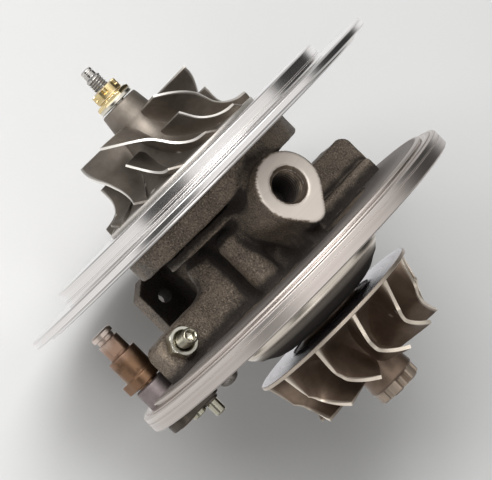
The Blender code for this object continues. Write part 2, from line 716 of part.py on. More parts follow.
def build_backplate():
    bore = COLLAR_LAND_RADIUS + SEAL_GAP
    recess = COMPRESSOR_TIP_RADIUS + RUNNING_GAP + FIT_GAP
    floor_x = wheel_recess_x()
    relief_x = PLATE_BACK_X - RELIEF_DEPTH
    relief_inner = SEAT_FLANGE_RADIUS + RELIEF_MARGIN
    relief_outer = STEP_RADIUS - RELIEF_MARGIN
    profile = [
        (floor_x, bore), (floor_x, recess), (RING_FRONT_X, recess),
        (RING_FRONT_X, RING_RADIUS - EDGE_CHAMFER), (RING_FRONT_X + EDGE_CHAMFER, RING_RADIUS),
        (DISC_FRONT_X, RING_RADIUS), (DISC_FRONT_X, DISC_RADIUS - EDGE_CHAMFER),
        (DISC_FRONT_X + EDGE_CHAMFER, DISC_RADIUS), (DISC_BACK_X - EDGE_CHAMFER, DISC_RADIUS),
        (DISC_BACK_X, DISC_RADIUS - EDGE_CHAMFER), (DISC_BACK_X, STEP_RADIUS),
        (PLATE_BACK_X, STEP_RADIUS - EDGE_CHAMFER), (PLATE_BACK_X, relief_outer),
        (relief_x, relief_outer - RELIEF_DEPTH), (relief_x, relief_inner + RELIEF_DEPTH),
        (PLATE_BACK_X, relief_inner), (PLATE_BACK_X, bore),
    ]
    plate = revolve("compressor_backplate", profile, FINE_STEPS)
    for index, y, z in screw_places():
        combine(plate, revolve(f"screw_hole_{index}", countersunk_profile(FIT_GAP), SMALL_STEPS,
                               (y, z)), "DIFFERENCE")
    settle(plate)
    paint(plate, (0.86, 0.86, 0.85), 0.16, 1.0)
    return plate


def build_thrust_collar():
    front_x = COMPRESSOR_BACK_X + FIT_GAP
    back_x = JOURNAL_START_X - FIT_GAP
    bore = SHAFT_WHEEL_RADIUS + FIT_GAP
    plate_back = thrust_pocket_x() - FIT_GAP
    plate_front = plate_back - THRUST_PLATE_WIDTH
    profile = [(front_x, bore), (front_x, COLLAR_LAND_RADIUS)]
    profile += ring_groove(COMPRESSOR_GROOVE_X, COLLAR_LAND_RADIUS)
    profile += [
        (COLLAR_LAND_END_X, COLLAR_LAND_RADIUS), (COLLAR_LAND_END_X, COLLAR_WAIST_RADIUS),
        (plate_front - FIT_GAP - COLLAR_FLANGE_WIDTH, COLLAR_WAIST_RADIUS),
        (plate_front - FIT_GAP - COLLAR_FLANGE_WIDTH, COLLAR_FLANGE_RADIUS),
        (plate_front - FIT_GAP, COLLAR_FLANGE_RADIUS), (plate_front - FIT_GAP, COLLAR_WAIST_RADIUS),
        (plate_back + FIT_GAP, COLLAR_WAIST_RADIUS), (plate_back + FIT_GAP, COLLAR_FLANGE_RADIUS),
        (back_x, COLLAR_FLANGE_RADIUS), (back_x, bore),
    ]
    collar = revolve("thrust_collar", profile, ROUND_STEPS)
    paint(collar, (0.45, 0.44, 0.43), 0.25, 1.0)
    return collar


def thrust_pocket_x():
    return PLATE_BACK_X + FIT_GAP + THRUST_POCKET_DEPTH


def build_thrust_bearing():
    back_x = thrust_pocket_x() - FIT_GAP
    front_x = back_x - THRUST_PLATE_WIDTH
    plate = prism("thrust_bearing", circle((0, 0), THRUST_POCKET_RADIUS - FIT_GAP, ROUND_STEPS),
                  front_x, back_x, "X")
    bore = drill("thrust_bore", (0, 0), front_x - FIT_GAP, back_x + FIT_GAP, THRUST_SLOT_HALF_WIDTH,
                 ROUND_STEPS, "X")
    half = THRUST_SLOT_HALF_WIDTH - RIM_MARGIN
    slot = box("thrust_slot", (front_x - FIT_GAP, -half, -2 * THRUST_POCKET_RADIUS),
               (back_x + FIT_GAP, half, 0))
    combine(plate, bore, "DIFFERENCE")
    combine(plate, slot, "DIFFERENCE")
    settle(plate)
    paint(plate, (0.72, 0.52, 0.26), 0.35, 1.0)
    return plate


def build_oil_deflector():
    """A cupped plate: its rim stands against the backplate and its floor turns the oil down."""
    back_x = thrust_pocket_x() - FIT_GAP - THRUST_PLATE_WIDTH - FIT_GAP
    rim_x = PLATE_BACK_X + FIT_GAP
    outer = THRUST_POCKET_RADIUS - FIT_GAP
    inner = COLLAR_FLANGE_RADIUS + RUNNING_GAP
    profile = [
        (back_x, inner), (back_x, outer), (rim_x, outer), (rim_x, outer - DEFLECTOR_WIDTH),
        (back_x - DEFLECTOR_WIDTH, outer - DEFLECTOR_WIDTH), (back_x - DEFLECTOR_WIDTH, inner),
    ]
    plate = revolve("oil_deflector", profile, ROUND_STEPS)
    paint(plate, (0.50, 0.49, 0.48), 0.35, 1.0)
    return plate


def build_journal_bearing():
    outer = BEARING_BORE_RADIUS - FIT_GAP
    bore = JOURNAL_RADIUS + FIT_GAP
    relief = bore + BEARING_RELIEF
    start = BEARING_START_X + BEARING_LAND_LENGTH
    end = BEARING_END_X - BEARING_LAND_LENGTH
    profile = [
        (BEARING_START_X, bore), (BEARING_START_X, outer), (start, outer), (start, BEARING_WAIST_RADIUS),
        (end, BEARING_WAIST_RADIUS), (end, outer), (BEARING_END_X, outer), (BEARING_END_X, bore),
        (end, bore), (end, relief), (start, relief), (start, bore),
    ]
    bearing = revolve("journal_bearing", profile, ROUND_STEPS)
    pin_hole = drill("pin_hole", (BEARING_PIN_X, 0), -2 * outer, -relief / 2,
                     BEARING_PIN_RADIUS + FIT_GAP, TINY_STEPS)
    feed_hole = drill("feed_hole", (INLET_X, 0), bore / 2, 2 * outer, INLET_FEED_RADIUS, TINY_STEPS)
    combine(bearing, pin_hole, "DIFFERENCE")
    combine(bearing, feed_hole, "DIFFERENCE")
    settle(bearing)
    paint(bearing, (0.70, 0.50, 0.25), 0.32, 1.0)
    return bearing


def build_bearing_pin():
    top = -(JOURNAL_RADIUS + FIT_GAP + BEARING_RELIEF + FIT_GAP)
    pin = drill("bearing_pin", (BEARING_PIN_X, 0), BEARING_PIN_BOTTOM_Z, top, BEARING_PIN_RADIUS,
                TINY_STEPS)
    paint(pin, (0.50, 0.50, 0.50), 0.3, 1.0)
    return pin


def build_piston_ring(name, groove_x, land_radius):
    start_x = groove_x + RING_SIDE_GAP
    inner = land_radius - RING_GROOVE_DEPTH + FIT_GAP
    outer = land_radius + SEAL_GAP - FIT_GAP
    ring = split_ring(name, start_x, start_x + RING_WIDTH, inner, outer, ROUND_STEPS, RING_BUTT_ANGLE)
    paint(ring, (0.35, 0.34, 0.33), 0.4, 1.0)
    return ring


def build_seal_ring():
    centre_x = PLATE_BACK_X + FIT_GAP + SEAL_RING_SECTION
    section = [(centre_x + SEAL_RING_SECTION * cos(2 * pi * k / 6),
                SEAL_RING_RADIUS + SEAL_RING_SECTION * sin(2 * pi * k / 6))
               for k in range(6)]
    ring = revolve("housing_seal_ring", section, ROUND_STEPS)
    paint(ring, (0.03, 0.03, 0.03), 0.6, 0.0)
    return ring


def inlet_boss():
    outline = tangent_outline((INLET_X, 0), INLET_BOSS_RADIUS, (INLET_LOBE_X, 0), INLET_LOBE_RADIUS, 12)
    foot = tangent_outline((INLET_X, 0), INLET_BOSS_RADIUS + CAST_DRAFT, (INLET_LOBE_X, 0),
                           INLET_LOBE_RADIUS + CAST_DRAFT, 12)
    return loft("inlet_boss", foot, outline, BEARING_BORE_RADIUS + FIT_GAP, INLET_TOP_Z)


def drain_neck():
    top_z = -BEARING_BORE_RADIUS
    low_z = DRAIN_BOTTOM_Z + DRAIN_THICKNESS / 2
    inset = CAST_DRAFT
    low = rounded_outline((DRAIN_START_X + inset, -DRAIN_NECK_HALF_WIDTH),
                          (DRAIN_END_X - inset, DRAIN_NECK_HALF_WIDTH), (2 * inset,) * 4)
    high = rounded_outline((DRAIN_START_X + 2 * inset, -DRAIN_NECK_HALF_WIDTH + inset),
                           (DRAIN_END_X - 1.5 * inset, DRAIN_NECK_HALF_WIDTH - inset), (2 * inset,) * 4)
    return loft("drain_neck", low, high, low_z, top_z)


def drain_flange():
    start, end, half = DRAIN_START_X, DRAIN_END_X, DRAIN_HALF_WIDTH
    cut_x, cut_y = DRAIN_CORNER
    outline = [(start, -half + cut_y), (start + cut_x, -half), (end, -half), (end, half),
               (start + cut_x, half), (start, half - cut_y)]
    return prism("drain_flange", outline, DRAIN_BOTTOM_Z, DRAIN_BOTTOM_Z + DRAIN_THICKNESS)


def lug_outline(start_x, near_y, far_y):
    """A lug's outline from inside the casting to its free end, with round free corners."""
    end_x = -TURBINE_FLANGE_WIDTH + CAST_OVERLAP
    low, high = min(near_y, far_y), max(near_y, far_y)
    corners = (LUG_CORNER, LUG_CORNER / 3, 0, 0) if far_y < near_y else (0, 0, LUG_CORNER / 3, LUG_CORNER)
    return rounded_outline((start_x, low), (end_x, high), corners)


def shoulder(name, angle, centre_radius, radius, start_x):
    """A round shoulder of the casting that runs along the neck into the turbine flange."""
    centre = (centre_radius * cos(angle), centre_radius * sin(angle))
    return drill(name, centre, start_x, -TURBINE_FLANGE_WIDTH + CAST_OVERLAP, radius, SMALL_STEPS, "X")


def housing_profile():
    seat_x = PLATE_BACK_X + FIT_GAP
    seat_end = seat_x + SEAT_FLANGE_WIDTH
    flange_x = -TURBINE_FLANGE_WIDTH
    rim_x = -TURBINE_RIM_WIDTH
    recess_x = -FACE_RECESS_DEPTH
    groove = SEAL_RING_SECTION + FIT_GAP
    groove_x = seat_x + 2 * SEAL_RING_SECTION + FIT_GAP
    chamfer = EDGE_CHAMFER
    shield_seat = SHIELD_BASE_RADIUS - SHIELD_WALL - FIT_GAP
    return [
        (seat_x, 0), (seat_x, SEAL_RING_RADIUS - groove), (groove_x, SEAL_RING_RADIUS - groove),
        (groove_x, SEAL_RING_RADIUS + groove), (seat_x, SEAL_RING_RADIUS + groove),
        (seat_x, SEAT_FLANGE_RADIUS - chamfer), (seat_x + chamfer, SEAT_FLANGE_RADIUS),
        (seat_end - 3 * chamfer, SEAT_FLANGE_RADIUS), (seat_end, SEAT_FLANGE_RADIUS - 2.5 * chamfer),
        (seat_end + NECK_FILLET * 0.3, NECK_RADIUS + NECK_FILLET),
        (seat_end + NECK_FILLET * 0.7, NECK_RADIUS + NECK_FILLET * 0.3),
        (seat_end + NECK_FILLET * 1.4, NECK_RADIUS), (flange_x - 2 * NECK_FILLET, NECK_RADIUS),
        (flange_x - NECK_FILLET, NECK_RADIUS + 0.6 * NECK_FILLET),
        (flange_x - NECK_FILLET * 0.5, NECK_RADIUS + 1.7 * NECK_FILLET),
        (flange_x - NECK_FILLET * 0.2, NECK_RADIUS + 3 * NECK_FILLET),
        (flange_x, NECK_RADIUS + 4.2 * NECK_FILLET),
        (flange_x, TURBINE_LAND_RADIUS - chamfer), (flange_x + chamfer, TURBINE_LAND_RADIUS),
        (rim_x - chamfer, TURBINE_LAND_RADIUS), (rim_x - chamfer, TURBINE_LAND_RADIUS - chamfer),
        (rim_x, TURBINE_LAND_RADIUS - chamfer), (rim_x, TURBINE_FLANGE_RADIUS - chamfer),
        (rim_x + chamfer, TURBINE_FLANGE_RADIUS), (-chamfer, TURBINE_FLANGE_RADIUS),
        (0, TURBINE_FLANGE_RADIUS - chamfer), (0, FACE_RECESS_RADIUS), (recess_x, FACE_RECESS_RADIUS),
        (recess_x, shield_seat), (SHIELD_SEAT_HEIGHT, shield_seat),
        (SHIELD_SEAT_HEIGHT, NOSE_RADIUS + SHIELD_SEAT_HEIGHT), (2 * SHIELD_SEAT_HEIGHT, NOSE_RADIUS),
        (NOSE_LENGTH, NOSE_RADIUS - chamfer), (NOSE_LENGTH, 0),
    ]


def main_bore():
    seat_x = PLATE_BACK_X + FIT_GAP
    counterbore = COLLAR_FLANGE_RADIUS + RUNNING_GAP
    seal_bore = SEAL_HUB_RADIUS + SEAL_GAP
    chamber_x = BEARING_END_X + 2 * FIT_GAP
    chamber_end = JOURNAL_END_X + FIT_GAP
    counter_end = JOURNAL_START_X + FIT_GAP
    return revolve("main_bore", [
        (seat_x - FIT_GAP, 0), (seat_x - FIT_GAP, THRUST_POCKET_RADIUS),
        (thrust_pocket_x(), THRUST_POCKET_RADIUS),
        (thrust_pocket_x(), counterbore), (counter_end, counterbore), (counter_end, BEARING_BORE_RADIUS),
        (chamber_x, BEARING_BORE_RADIUS), (chamber_x, seal_bore + OIL_CHAMBER_DEPTH),
        (chamber_end, seal_bore + OIL_CHAMBER_DEPTH), (chamber_end, seal_bore),
        (NOSE_LENGTH + FIT_GAP, seal_bore), (NOSE_LENGTH + FIT_GAP, 0),
    ], ROUND_STEPS)


def housing_additions():
    yield inlet_boss()
    yield drain_neck()
    yield drain_flange()
    front = lug_outline(FRONT_LUG_START_X, -BEARING_BORE_RADIUS, FRONT_LUG_Y)
    yield prism("front_lug", front, FRONT_LUG_TOP_Z - FRONT_LUG_THICKNESS, FRONT_LUG_TOP_Z)
    back = lug_outline(BACK_LUG_START_X, BEARING_BORE_RADIUS, BACK_LUG_Y)
    yield prism("back_lug", back, BACK_LUG_TOP_Z - BACK_LUG_THICKNESS, BACK_LUG_TOP_Z)
    rib = lug_outline(BACK_RIB_START_X, BEARING_BORE_RADIUS + FIT_GAP, BACK_LUG_Y - CAST_DRAFT)
    yield prism("back_rib", rib, BACK_LUG_TOP_Z - BACK_LUG_THICKNESS - BACK_RIB_STEP,
                BACK_LUG_TOP_Z + BACK_RIB_STEP)
    yield shoulder("upper_shoulder", UPPER_SHOULDER_ANGLE, NECK_RADIUS - 0.75 * UPPER_SHOULDER_RADIUS,
                   UPPER_SHOULDER_RADIUS, SHOULDER_START_X)
    yield shoulder("lower_shoulder", LOWER_SHOULDER_ANGLE, NECK_RADIUS - 0.5 * LOWER_SHOULDER_RADIUS,
                   LOWER_SHOULDER_RADIUS, SHOULDER_START_X - CAST_DRAFT)
    end_x = -TURBINE_FLANGE_WIDTH + CAST_OVERLAP
    foot = rounded_outline((INLET_LOBE_X - CAST_DRAFT, -WEB_HALF_WIDTH - CAST_DRAFT),
                           (end_x, WEB_HALF_WIDTH + CAST_DRAFT), (0,) * 4)
    crown = rounded_outline((INLET_LOBE_X, -WEB_HALF_WIDTH), (end_x, WEB_HALF_WIDTH), (0,) * 4)
    yield loft("inlet_web", foot, crown, NECK_RADIUS - 2 * CAST_DRAFT, WEB_TOP_Z)


def housing_cuts():
    yield main_bore()
    for index, y, z in screw_places():
        yield revolve(f"screw_hole_{index}", countersunk_profile(FIT_GAP), SMALL_STEPS, (y, z))
    inlet_floor = INLET_TOP_Z - INLET_BORE_DEPTH
    over = INLET_TOP_Z + FIT_GAP
    yield drill("inlet_bore", (INLET_X, 0), inlet_floor, over, INLET_BORE_RADIUS, SMALL_STEPS)
    mouth = INLET_BORE_RADIUS + INLET_MOUTH
    yield loft("inlet_mouth", circle((INLET_X, 0), INLET_BORE_RADIUS - FIT_GAP, SMALL_STEPS),
               circle((INLET_X, 0), mouth + FIT_GAP, SMALL_STEPS), INLET_TOP_Z - INLET_MOUTH - FIT_GAP,
               over)
    yield drill("inlet_feed", (INLET_X, 0), BEARING_BORE_RADIUS / 2, inlet_floor + FIT_GAP,
                INLET_FEED_RADIUS, TINY_STEPS)
    gallery_top = -BEARING_BORE_RADIUS - GALLERY_COVER
    gallery_low = gallery_top - GALLERY_HEIGHT
    below = DRAIN_BOTTOM_Z - FIT_GAP
    yield drill("drain_bore", (DRAIN_X, 0), below, gallery_top - GALLERY_HEIGHT / 4, DRAIN_BORE_RADIUS,
                SMALL_STEPS)
    half = GALLERY_HALF_WIDTH
    start_x = thrust_pocket_x() - GALLERY_REACH
    end_x = JOURNAL_END_X - RIM_MARGIN
    yield box("gallery", (start_x, -half, gallery_low), (end_x, half, gallery_top))
    yield box("thrust_riser", (start_x + RIM_MARGIN, -half + RIM_MARGIN, gallery_top - FIT_GAP),
              (JOURNAL_START_X + GALLERY_REACH, half - RIM_MARGIN, -BEARING_BORE_RADIUS / 2))
    yield box("turbine_riser", (BEARING_END_X + GALLERY_REACH, -half + RIM_MARGIN, gallery_top - FIT_GAP),
              (end_x - RIM_MARGIN, half - RIM_MARGIN, -BEARING_BORE_RADIUS))
    for side in (-1, 1):
        yield drill(f"drain_bolt_{side}", (DRAIN_X, side * DRAIN_BOLT_Y), below,
                    DRAIN_BOTTOM_Z + DRAIN_THICKNESS + FIT_GAP, DRAIN_BOLT_HOLE_RADIUS, SMALL_STEPS)
    yield drill("crank_bore", (CRANK_Y, CRANK_Z), -TURBINE_FLANGE_WIDTH - FIT_GAP, FIT_GAP,
                CRANK_BUSH_RADIUS + FIT_GAP, SMALL_STEPS, "X")
    yield drill("stop_hole", (STOP_X, STOP_Y), FRONT_LUG_TOP_Z - FRONT_LUG_THICKNESS - FIT_GAP,
                FRONT_LUG_TOP_Z + FIT_GAP, STOP_SCREW_RADIUS + FIT_GAP, TINY_STEPS)
    yield drill("bearing_pin_hole", (BEARING_PIN_X, 0), gallery_top - FIT_GAP, -BEARING_BORE_RADIUS / 2,
                BEARING_PIN_RADIUS + FIT_GAP, TINY_STEPS)
    yield drill("dowel_hole", (DOWEL_Y, DOWEL_Z), -DOWEL_DEPTH - FIT_GAP, FIT_GAP, DOWEL_RADIUS + FIT_GAP,
                SMALL_STEPS, "X")


def build_center_housing():
    housing = revolve("center_housing", housing_profile(), FINE_STEPS)
    for addition in housing_additions():
        combine(housing, addition, "UNION")
    for cut in housing_cuts():
        combine(housing, cut, "DIFFERENCE")
    settle(housing)
    paint(housing, (0.16, 0.14, 0.13), 0.55, 0.8)
    return housing


def inset_line(points, wall):
    """A line parallel to (x, radius) points, nearer the axis by the wall."""
    line = np.array(points)
    run = np.gradient(line, axis=0)
    normal = np.stack([run[:, 1], -run[:, 0]], axis=1)
    normal /= np.linalg.norm(normal, axis=1, keepdims=True)
    return [tuple(row) for row in line + wall * normal]


def bowed(start, end, share):
    """A point halfway between the straight line and the quarter ellipse from start to end."""
    x, radius = quarter(start, end, share)
    return (0.5 * (x + start[0] + (end[0] - start[0]) * share),
            0.5 * (radius + start[1] + (end[1] - start[1]) * share))


def build_heat_shield():
    hole = TURBINE_NECK_RADIUS + RUNNING_GAP
    foot = (FIT_GAP - FACE_RECESS_DEPTH, SHIELD_BASE_RADIUS)
    bend = (SHIELD_SHOULDER_X, SHIELD_BASE_RADIUS)
    step = (SHIELD_STEP_X, SHIELD_STEP_RADIUS)
    face = (SHIELD_FRONT_X, SHIELD_FACE_RADIUS)
    outer = [foot]
    outer += [bowed(bend, step, k / 2) for k in range(2)]
    outer += [bowed(step, face, k / 4) for k in range(5)]
    outer.append((SHIELD_FRONT_X, hole))
    inner = inset_line(outer, SHIELD_WALL)
    inner[0] = (foot[0], SHIELD_BASE_RADIUS - SHIELD_WALL)
    inner[-1] = (SHIELD_FRONT_X - SHIELD_WALL, hole)
    shield = revolve("heat_shield", outer + inner[::-1], ROUND_STEPS)
    paint(shield, (0.62, 0.60, 0.58), 0.22, 1.0)
    return shield


def build_face_dowel():
    base_x = -DOWEL_DEPTH
    dome_x = DOWEL_HEIGHT - DOWEL_DOME_HEIGHT
    profile = [(base_x, 0), (base_x, DOWEL_RADIUS)]
    profile += [quarter((dome_x, DOWEL_RADIUS), (DOWEL_HEIGHT, 0), k / 4) for k in range(4)]
    profile.append((DOWEL_HEIGHT, 0))
    dowel = revolve("face_dowel", profile, SMALL_STEPS, (DOWEL_Y, DOWEL_Z))
    paint(dowel, (0.25, 0.23, 0.22), 0.4, 1.0)
    return dowel


def build_stop_screw():
    profile = [
        (STOP_SCREW_TIP_Z, 0), (STOP_SCREW_TIP_Z, STOP_SCREW_RADIUS - EDGE_CHAMFER),
        (STOP_SCREW_TIP_Z + EDGE_CHAMFER, STOP_SCREW_RADIUS),
        (STOP_SCREW_TOP_Z - EDGE_CHAMFER, STOP_SCREW_RADIUS),
        (STOP_SCREW_TOP_Z, STOP_SCREW_RADIUS - EDGE_CHAMFER), (STOP_SCREW_TOP_Z, 0),
    ]
    screw = revolve("stop_screw", profile, SMALL_STEPS)
    screw.data.transform(Matrix(((0, 0, 1, 0), (0, 1, 0, 0), (1, 0, 0, 0), (0, 0, 0, 1))))
    screw.data.transform(Matrix.Translation((STOP_X, STOP_Y, 0)))
    screw.data.flip_normals()
    socket = prism("socket", circle((STOP_X, STOP_Y), STOP_SOCKET_RADIUS, 6),
                   STOP_SCREW_TOP_Z - STOP_SOCKET_DEPTH,
                   STOP_SCREW_TOP_Z + STOP_SOCKET_DEPTH)
    combine(screw, socket, "DIFFERENCE")
    settle(screw)
    paint(screw, (0.78, 0.77, 0.72), 0.22, 1.0)
    return screw


def build_stop_nut():
    low = FRONT_LUG_TOP_Z + FIT_GAP
    corner = STOP_NUT_FLATS / 2 / cos(pi / 6)
    nut = prism("stop_screw_nut", circle((STOP_X, STOP_Y), corner, 6, pi / 6), low, low + STOP_NUT_HEIGHT)
    bore = drill("nut_hole", (STOP_X, STOP_Y), low - FIT_GAP, low + STOP_NUT_HEIGHT + FIT_GAP,
                 STOP_SCREW_RADIUS + FIT_GAP, TINY_STEPS)
    combine(nut, bore, "DIFFERENCE")
    settle(nut)
    paint(nut, (0.80, 0.78, 0.72), 0.22, 1.0)
    return nut


def build_crank_bush():
    profile = [
        (CRANK_BUSH_START_X, CRANK_RADIUS + FIT_GAP), (CRANK_BUSH_START_X, CRANK_BUSH_RADIUS),
        (CRANK_BUSH_END_X, CRANK_BUSH_RADIUS), (CRANK_BUSH_END_X, CRANK_RADIUS + FIT_GAP),
    ]
    bush = revolve("crank_bush", profile, SMALL_STEPS, (CRANK_Y, CRANK_Z))
    paint(bush, (0.40, 0.28, 0.18), 0.4, 1.0)
    return bush


def build_crank_shaft():
    groove_end = CRANK_GROOVE_X + CRANK_GROOVE_WIDTH
    profile = [
        (CRANK_TIP_X, 0), (CRANK_TIP_X, CRANK_RADIUS - EDGE_CHAMFER),
        (CRANK_TIP_X + EDGE_CHAMFER, CRANK_RADIUS),
        (CRANK_GROOVE_X, CRANK_RADIUS), (CRANK_GROOVE_X, CRANK_GROOVE_RADIUS),
        (groove_end, CRANK_GROOVE_RADIUS),
        (groove_end, CRANK_RADIUS), (CRANK_END_X, CRANK_RADIUS), (CRANK_END_X, 0),
    ]
    shaft = revolve("crank_shaft", profile, SMALL_STEPS)
    for side in (-1, 1):
        flat = box(f"flat_{side}", (groove_end + EDGE_CHAMFER, -2 * CRANK_RADIUS, CRANK_FLAT_HEIGHT),
                   (LEVER_START_X - 2 * FIT_GAP, 2 * CRANK_RADIUS, 2 * CRANK_RADIUS))
        flat.data.transform(Matrix.Rotation(CRANK_FLAT_ANGLE + (side < 0) * pi, 4, "X"))
        combine(shaft, flat, "DIFFERENCE")
    settle(shaft)
    shaft.data.transform(Matrix.Translation((0, CRANK_Y, CRANK_Z)))
    paint(shaft, (0.66, 0.62, 0.58), 0.3, 1.0)
    return shaft


def build_crank_lever():
    plate_end = LEVER_PLATE_X + LEVER_PLATE_WIDTH
    sleeve = drill("crank_lever", (CRANK_Y, CRANK_Z), LEVER_START_X, plate_end - EDGE_CHAMFER,
                   LEVER_SLEEVE_RADIUS, SMALL_STEPS, "X")
    tab = (CRANK_Y + LEVER_TAB_LENGTH * cos(LEVER_TAB_ANGLE),
           CRANK_Z + LEVER_TAB_LENGTH * sin(LEVER_TAB_ANGLE))
    outline = tangent_outline((CRANK_Y, CRANK_Z), LEVER_SLEEVE_RADIUS + RIM_MARGIN, tab,
                              LEVER_TAB_RADIUS, 10)
    combine(sleeve, prism("lever_plate", outline, LEVER_PLATE_X, plate_end, "X"), "UNION")
    bore = drill("lever_bore", (CRANK_Y, CRANK_Z), LEVER_START_X - FIT_GAP, plate_end + FIT_GAP,
                 CRANK_RADIUS + FIT_GAP, SMALL_STEPS, "X")
    combine(sleeve, bore, "DIFFERENCE")
    settle(sleeve)
    paint(sleeve, (0.50, 0.33, 0.22), 0.32, 1.0)
    return sleeve


def crank_point(share):
    """A point on the arm's middle line, which runs from the spindle towards the rotor."""
    reach = hypot(CRANK_Y, CRANK_Z)
    return (CRANK_Y - CRANK_Y / reach * ARM_LENGTH * share, CRANK_Z - CRANK_Z / reach * ARM_LENGTH * share)


def build_crank_arm():
    end_x = ARM_START_X + ARM_THICKNESS
    outline = tangent_outline(crank_point(0), ARM_HUB_RADIUS, crank_point(1), ARM_TIP_RADIUS, 10)
    arm = prism("crank_arm", outline, ARM_START_X, end_x, "X")
    half = ARM_START_X + ARM_THICKNESS / 2
    boss = drill("pin_boss", crank_point(1), half, end_x + PIN_BOSS_HEIGHT,
                 ARM_BOSS_RADIUS + RIM_MARGIN, SMALL_STEPS, "X")
    stud = drill("arm_stud", crank_point(ARM_STUD_SHARE), half, end_x + ARM_BOSS_HEIGHT,
                 ARM_BOSS_RADIUS, SMALL_STEPS, "X")
    combine(arm, boss, "UNION")
    combine(arm, stud, "UNION")
    below = ARM_START_X - FIT_GAP
    hub_bore = drill("arm_bore", crank_point(0), below, end_x + 2 * FIT_GAP, CRANK_RADIUS + FIT_GAP,
                     SMALL_STEPS, "X")
    pin_bore = drill("pin_bore", crank_point(1), below, end_x + 2 * PIN_BOSS_HEIGHT,
                     PIN_RADIUS + FIT_GAP, TINY_STEPS, "X")
    combine(arm, hub_bore, "DIFFERENCE")
    combine(arm, pin_bore, "DIFFERENCE")
    settle(arm)
    paint(arm, (0.45, 0.41, 0.37), 0.35, 1.0)
    return arm


def build_crank_pin():
    pin = drill("crank_pin", crank_point(1), ARM_START_X + EDGE_CHAMFER, PIN_END_X, PIN_RADIUS,
                SMALL_STEPS, "X")
    paint(pin, (0.82, 0.78, 0.66), 0.2, 1.0)
    return pin


def main():
    clear_scene()
    build_center_housing()
    build_backplate()
    for index, y, z in screw_places():
        build_backplate_screw(index, y, z)
    build_seal_ring()
    build_thrust_bearing()
    build_oil_deflector()
    build_journal_bearing()
    build_bearing_pin()
    build_piston_ring("compressor_piston_ring", COMPRESSOR_GROOVE_X, COLLAR_LAND_RADIUS)
    build_piston_ring("turbine_piston_ring", TURBINE_GROOVE_X, SEAL_HUB_RADIUS)
    build_heat_shield()
    build_face_dowel()
    build_stop_screw()
    build_stop_nut()
    build_crank_bush()
    build_rotor_shaft()
    build_thrust_collar()
    build_compressor_wheel()
    build_lock_nut()
    build_turbine_wheel()
    crank_axis = (0, CRANK_Y, CRANK_Z)
    for piece in (build_crank_shaft(), build_crank_lever(), build_crank_arm(), build_crank_pin()):
        place(piece, crank_axis)


main()
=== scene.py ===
from math import cos, pi, radians, sin, sqrt

import bpy
import numpy as np
from mathutils import Matrix, Vector


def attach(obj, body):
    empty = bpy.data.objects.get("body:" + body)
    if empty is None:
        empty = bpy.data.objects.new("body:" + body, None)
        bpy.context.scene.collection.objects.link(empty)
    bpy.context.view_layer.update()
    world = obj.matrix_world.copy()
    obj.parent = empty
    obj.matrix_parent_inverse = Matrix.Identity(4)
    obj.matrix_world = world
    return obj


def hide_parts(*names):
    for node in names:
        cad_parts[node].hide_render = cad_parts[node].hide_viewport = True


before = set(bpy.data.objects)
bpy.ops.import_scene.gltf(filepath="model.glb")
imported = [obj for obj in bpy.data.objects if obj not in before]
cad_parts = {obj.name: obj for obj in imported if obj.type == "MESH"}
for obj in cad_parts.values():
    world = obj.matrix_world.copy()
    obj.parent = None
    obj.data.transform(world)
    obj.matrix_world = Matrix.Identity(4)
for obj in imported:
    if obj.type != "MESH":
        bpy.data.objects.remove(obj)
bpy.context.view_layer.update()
mm = 0.001
print("frame loaded:", len(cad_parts), "nodes")


def meshPiece(name, points, quads, triangles=(), angle=None):
    # points: (n, 3) in millimetres; quads and triangles hold point numbers
    quads = np.asarray(quads, np.int32).reshape(-1, 4)
    triangles = np.asarray(triangles, np.int32).reshape(-1, 3)
    loops = np.concatenate([quads.ravel(), triangles.ravel()])
    totals = np.concatenate([np.full(len(quads), 4), np.full(len(triangles), 3)]).astype(np.int32)
    mesh = bpy.data.meshes.new(name)
    mesh.vertices.add(len(points))
    mesh.vertices.foreach_set("co", (np.asarray(points, float) * mm).astype(np.float32).ravel())
    mesh.loops.add(len(loops))
    mesh.loops.foreach_set("vertex_index", loops)
    mesh.polygons.add(len(totals))
    mesh.polygons.foreach_set("loop_start", np.concatenate([[0], np.cumsum(totals)[:-1]]).astype(np.int32))
    mesh.update(calc_edges=True)
    mesh.validate()
    mesh.shade_smooth()
    if angle is not None:
        mesh.set_sharp_from_angle(angle=radians(angle))
    piece = bpy.data.objects.new(name, mesh)
    bpy.context.scene.collection.objects.link(piece)
    return piece


def gridQuads(rows, columns, wrapRows=False, wrapColumns=False, start=0):
    # the four corners of each cell of a grid of points, row after row
    i = np.arange(rows if wrapRows else rows - 1)[:, None]
    j = np.arange(columns if wrapColumns else columns - 1)[None, :]
    down, across = (i + 1) % rows, (j + 1) % columns
    cells = [i * columns + j, i * columns + across, down * columns + across, down * columns + j]
    return np.stack([np.broadcast_to(c, (i.size, j.size)) for c in cells], axis=-1).reshape(-1, 4) + start


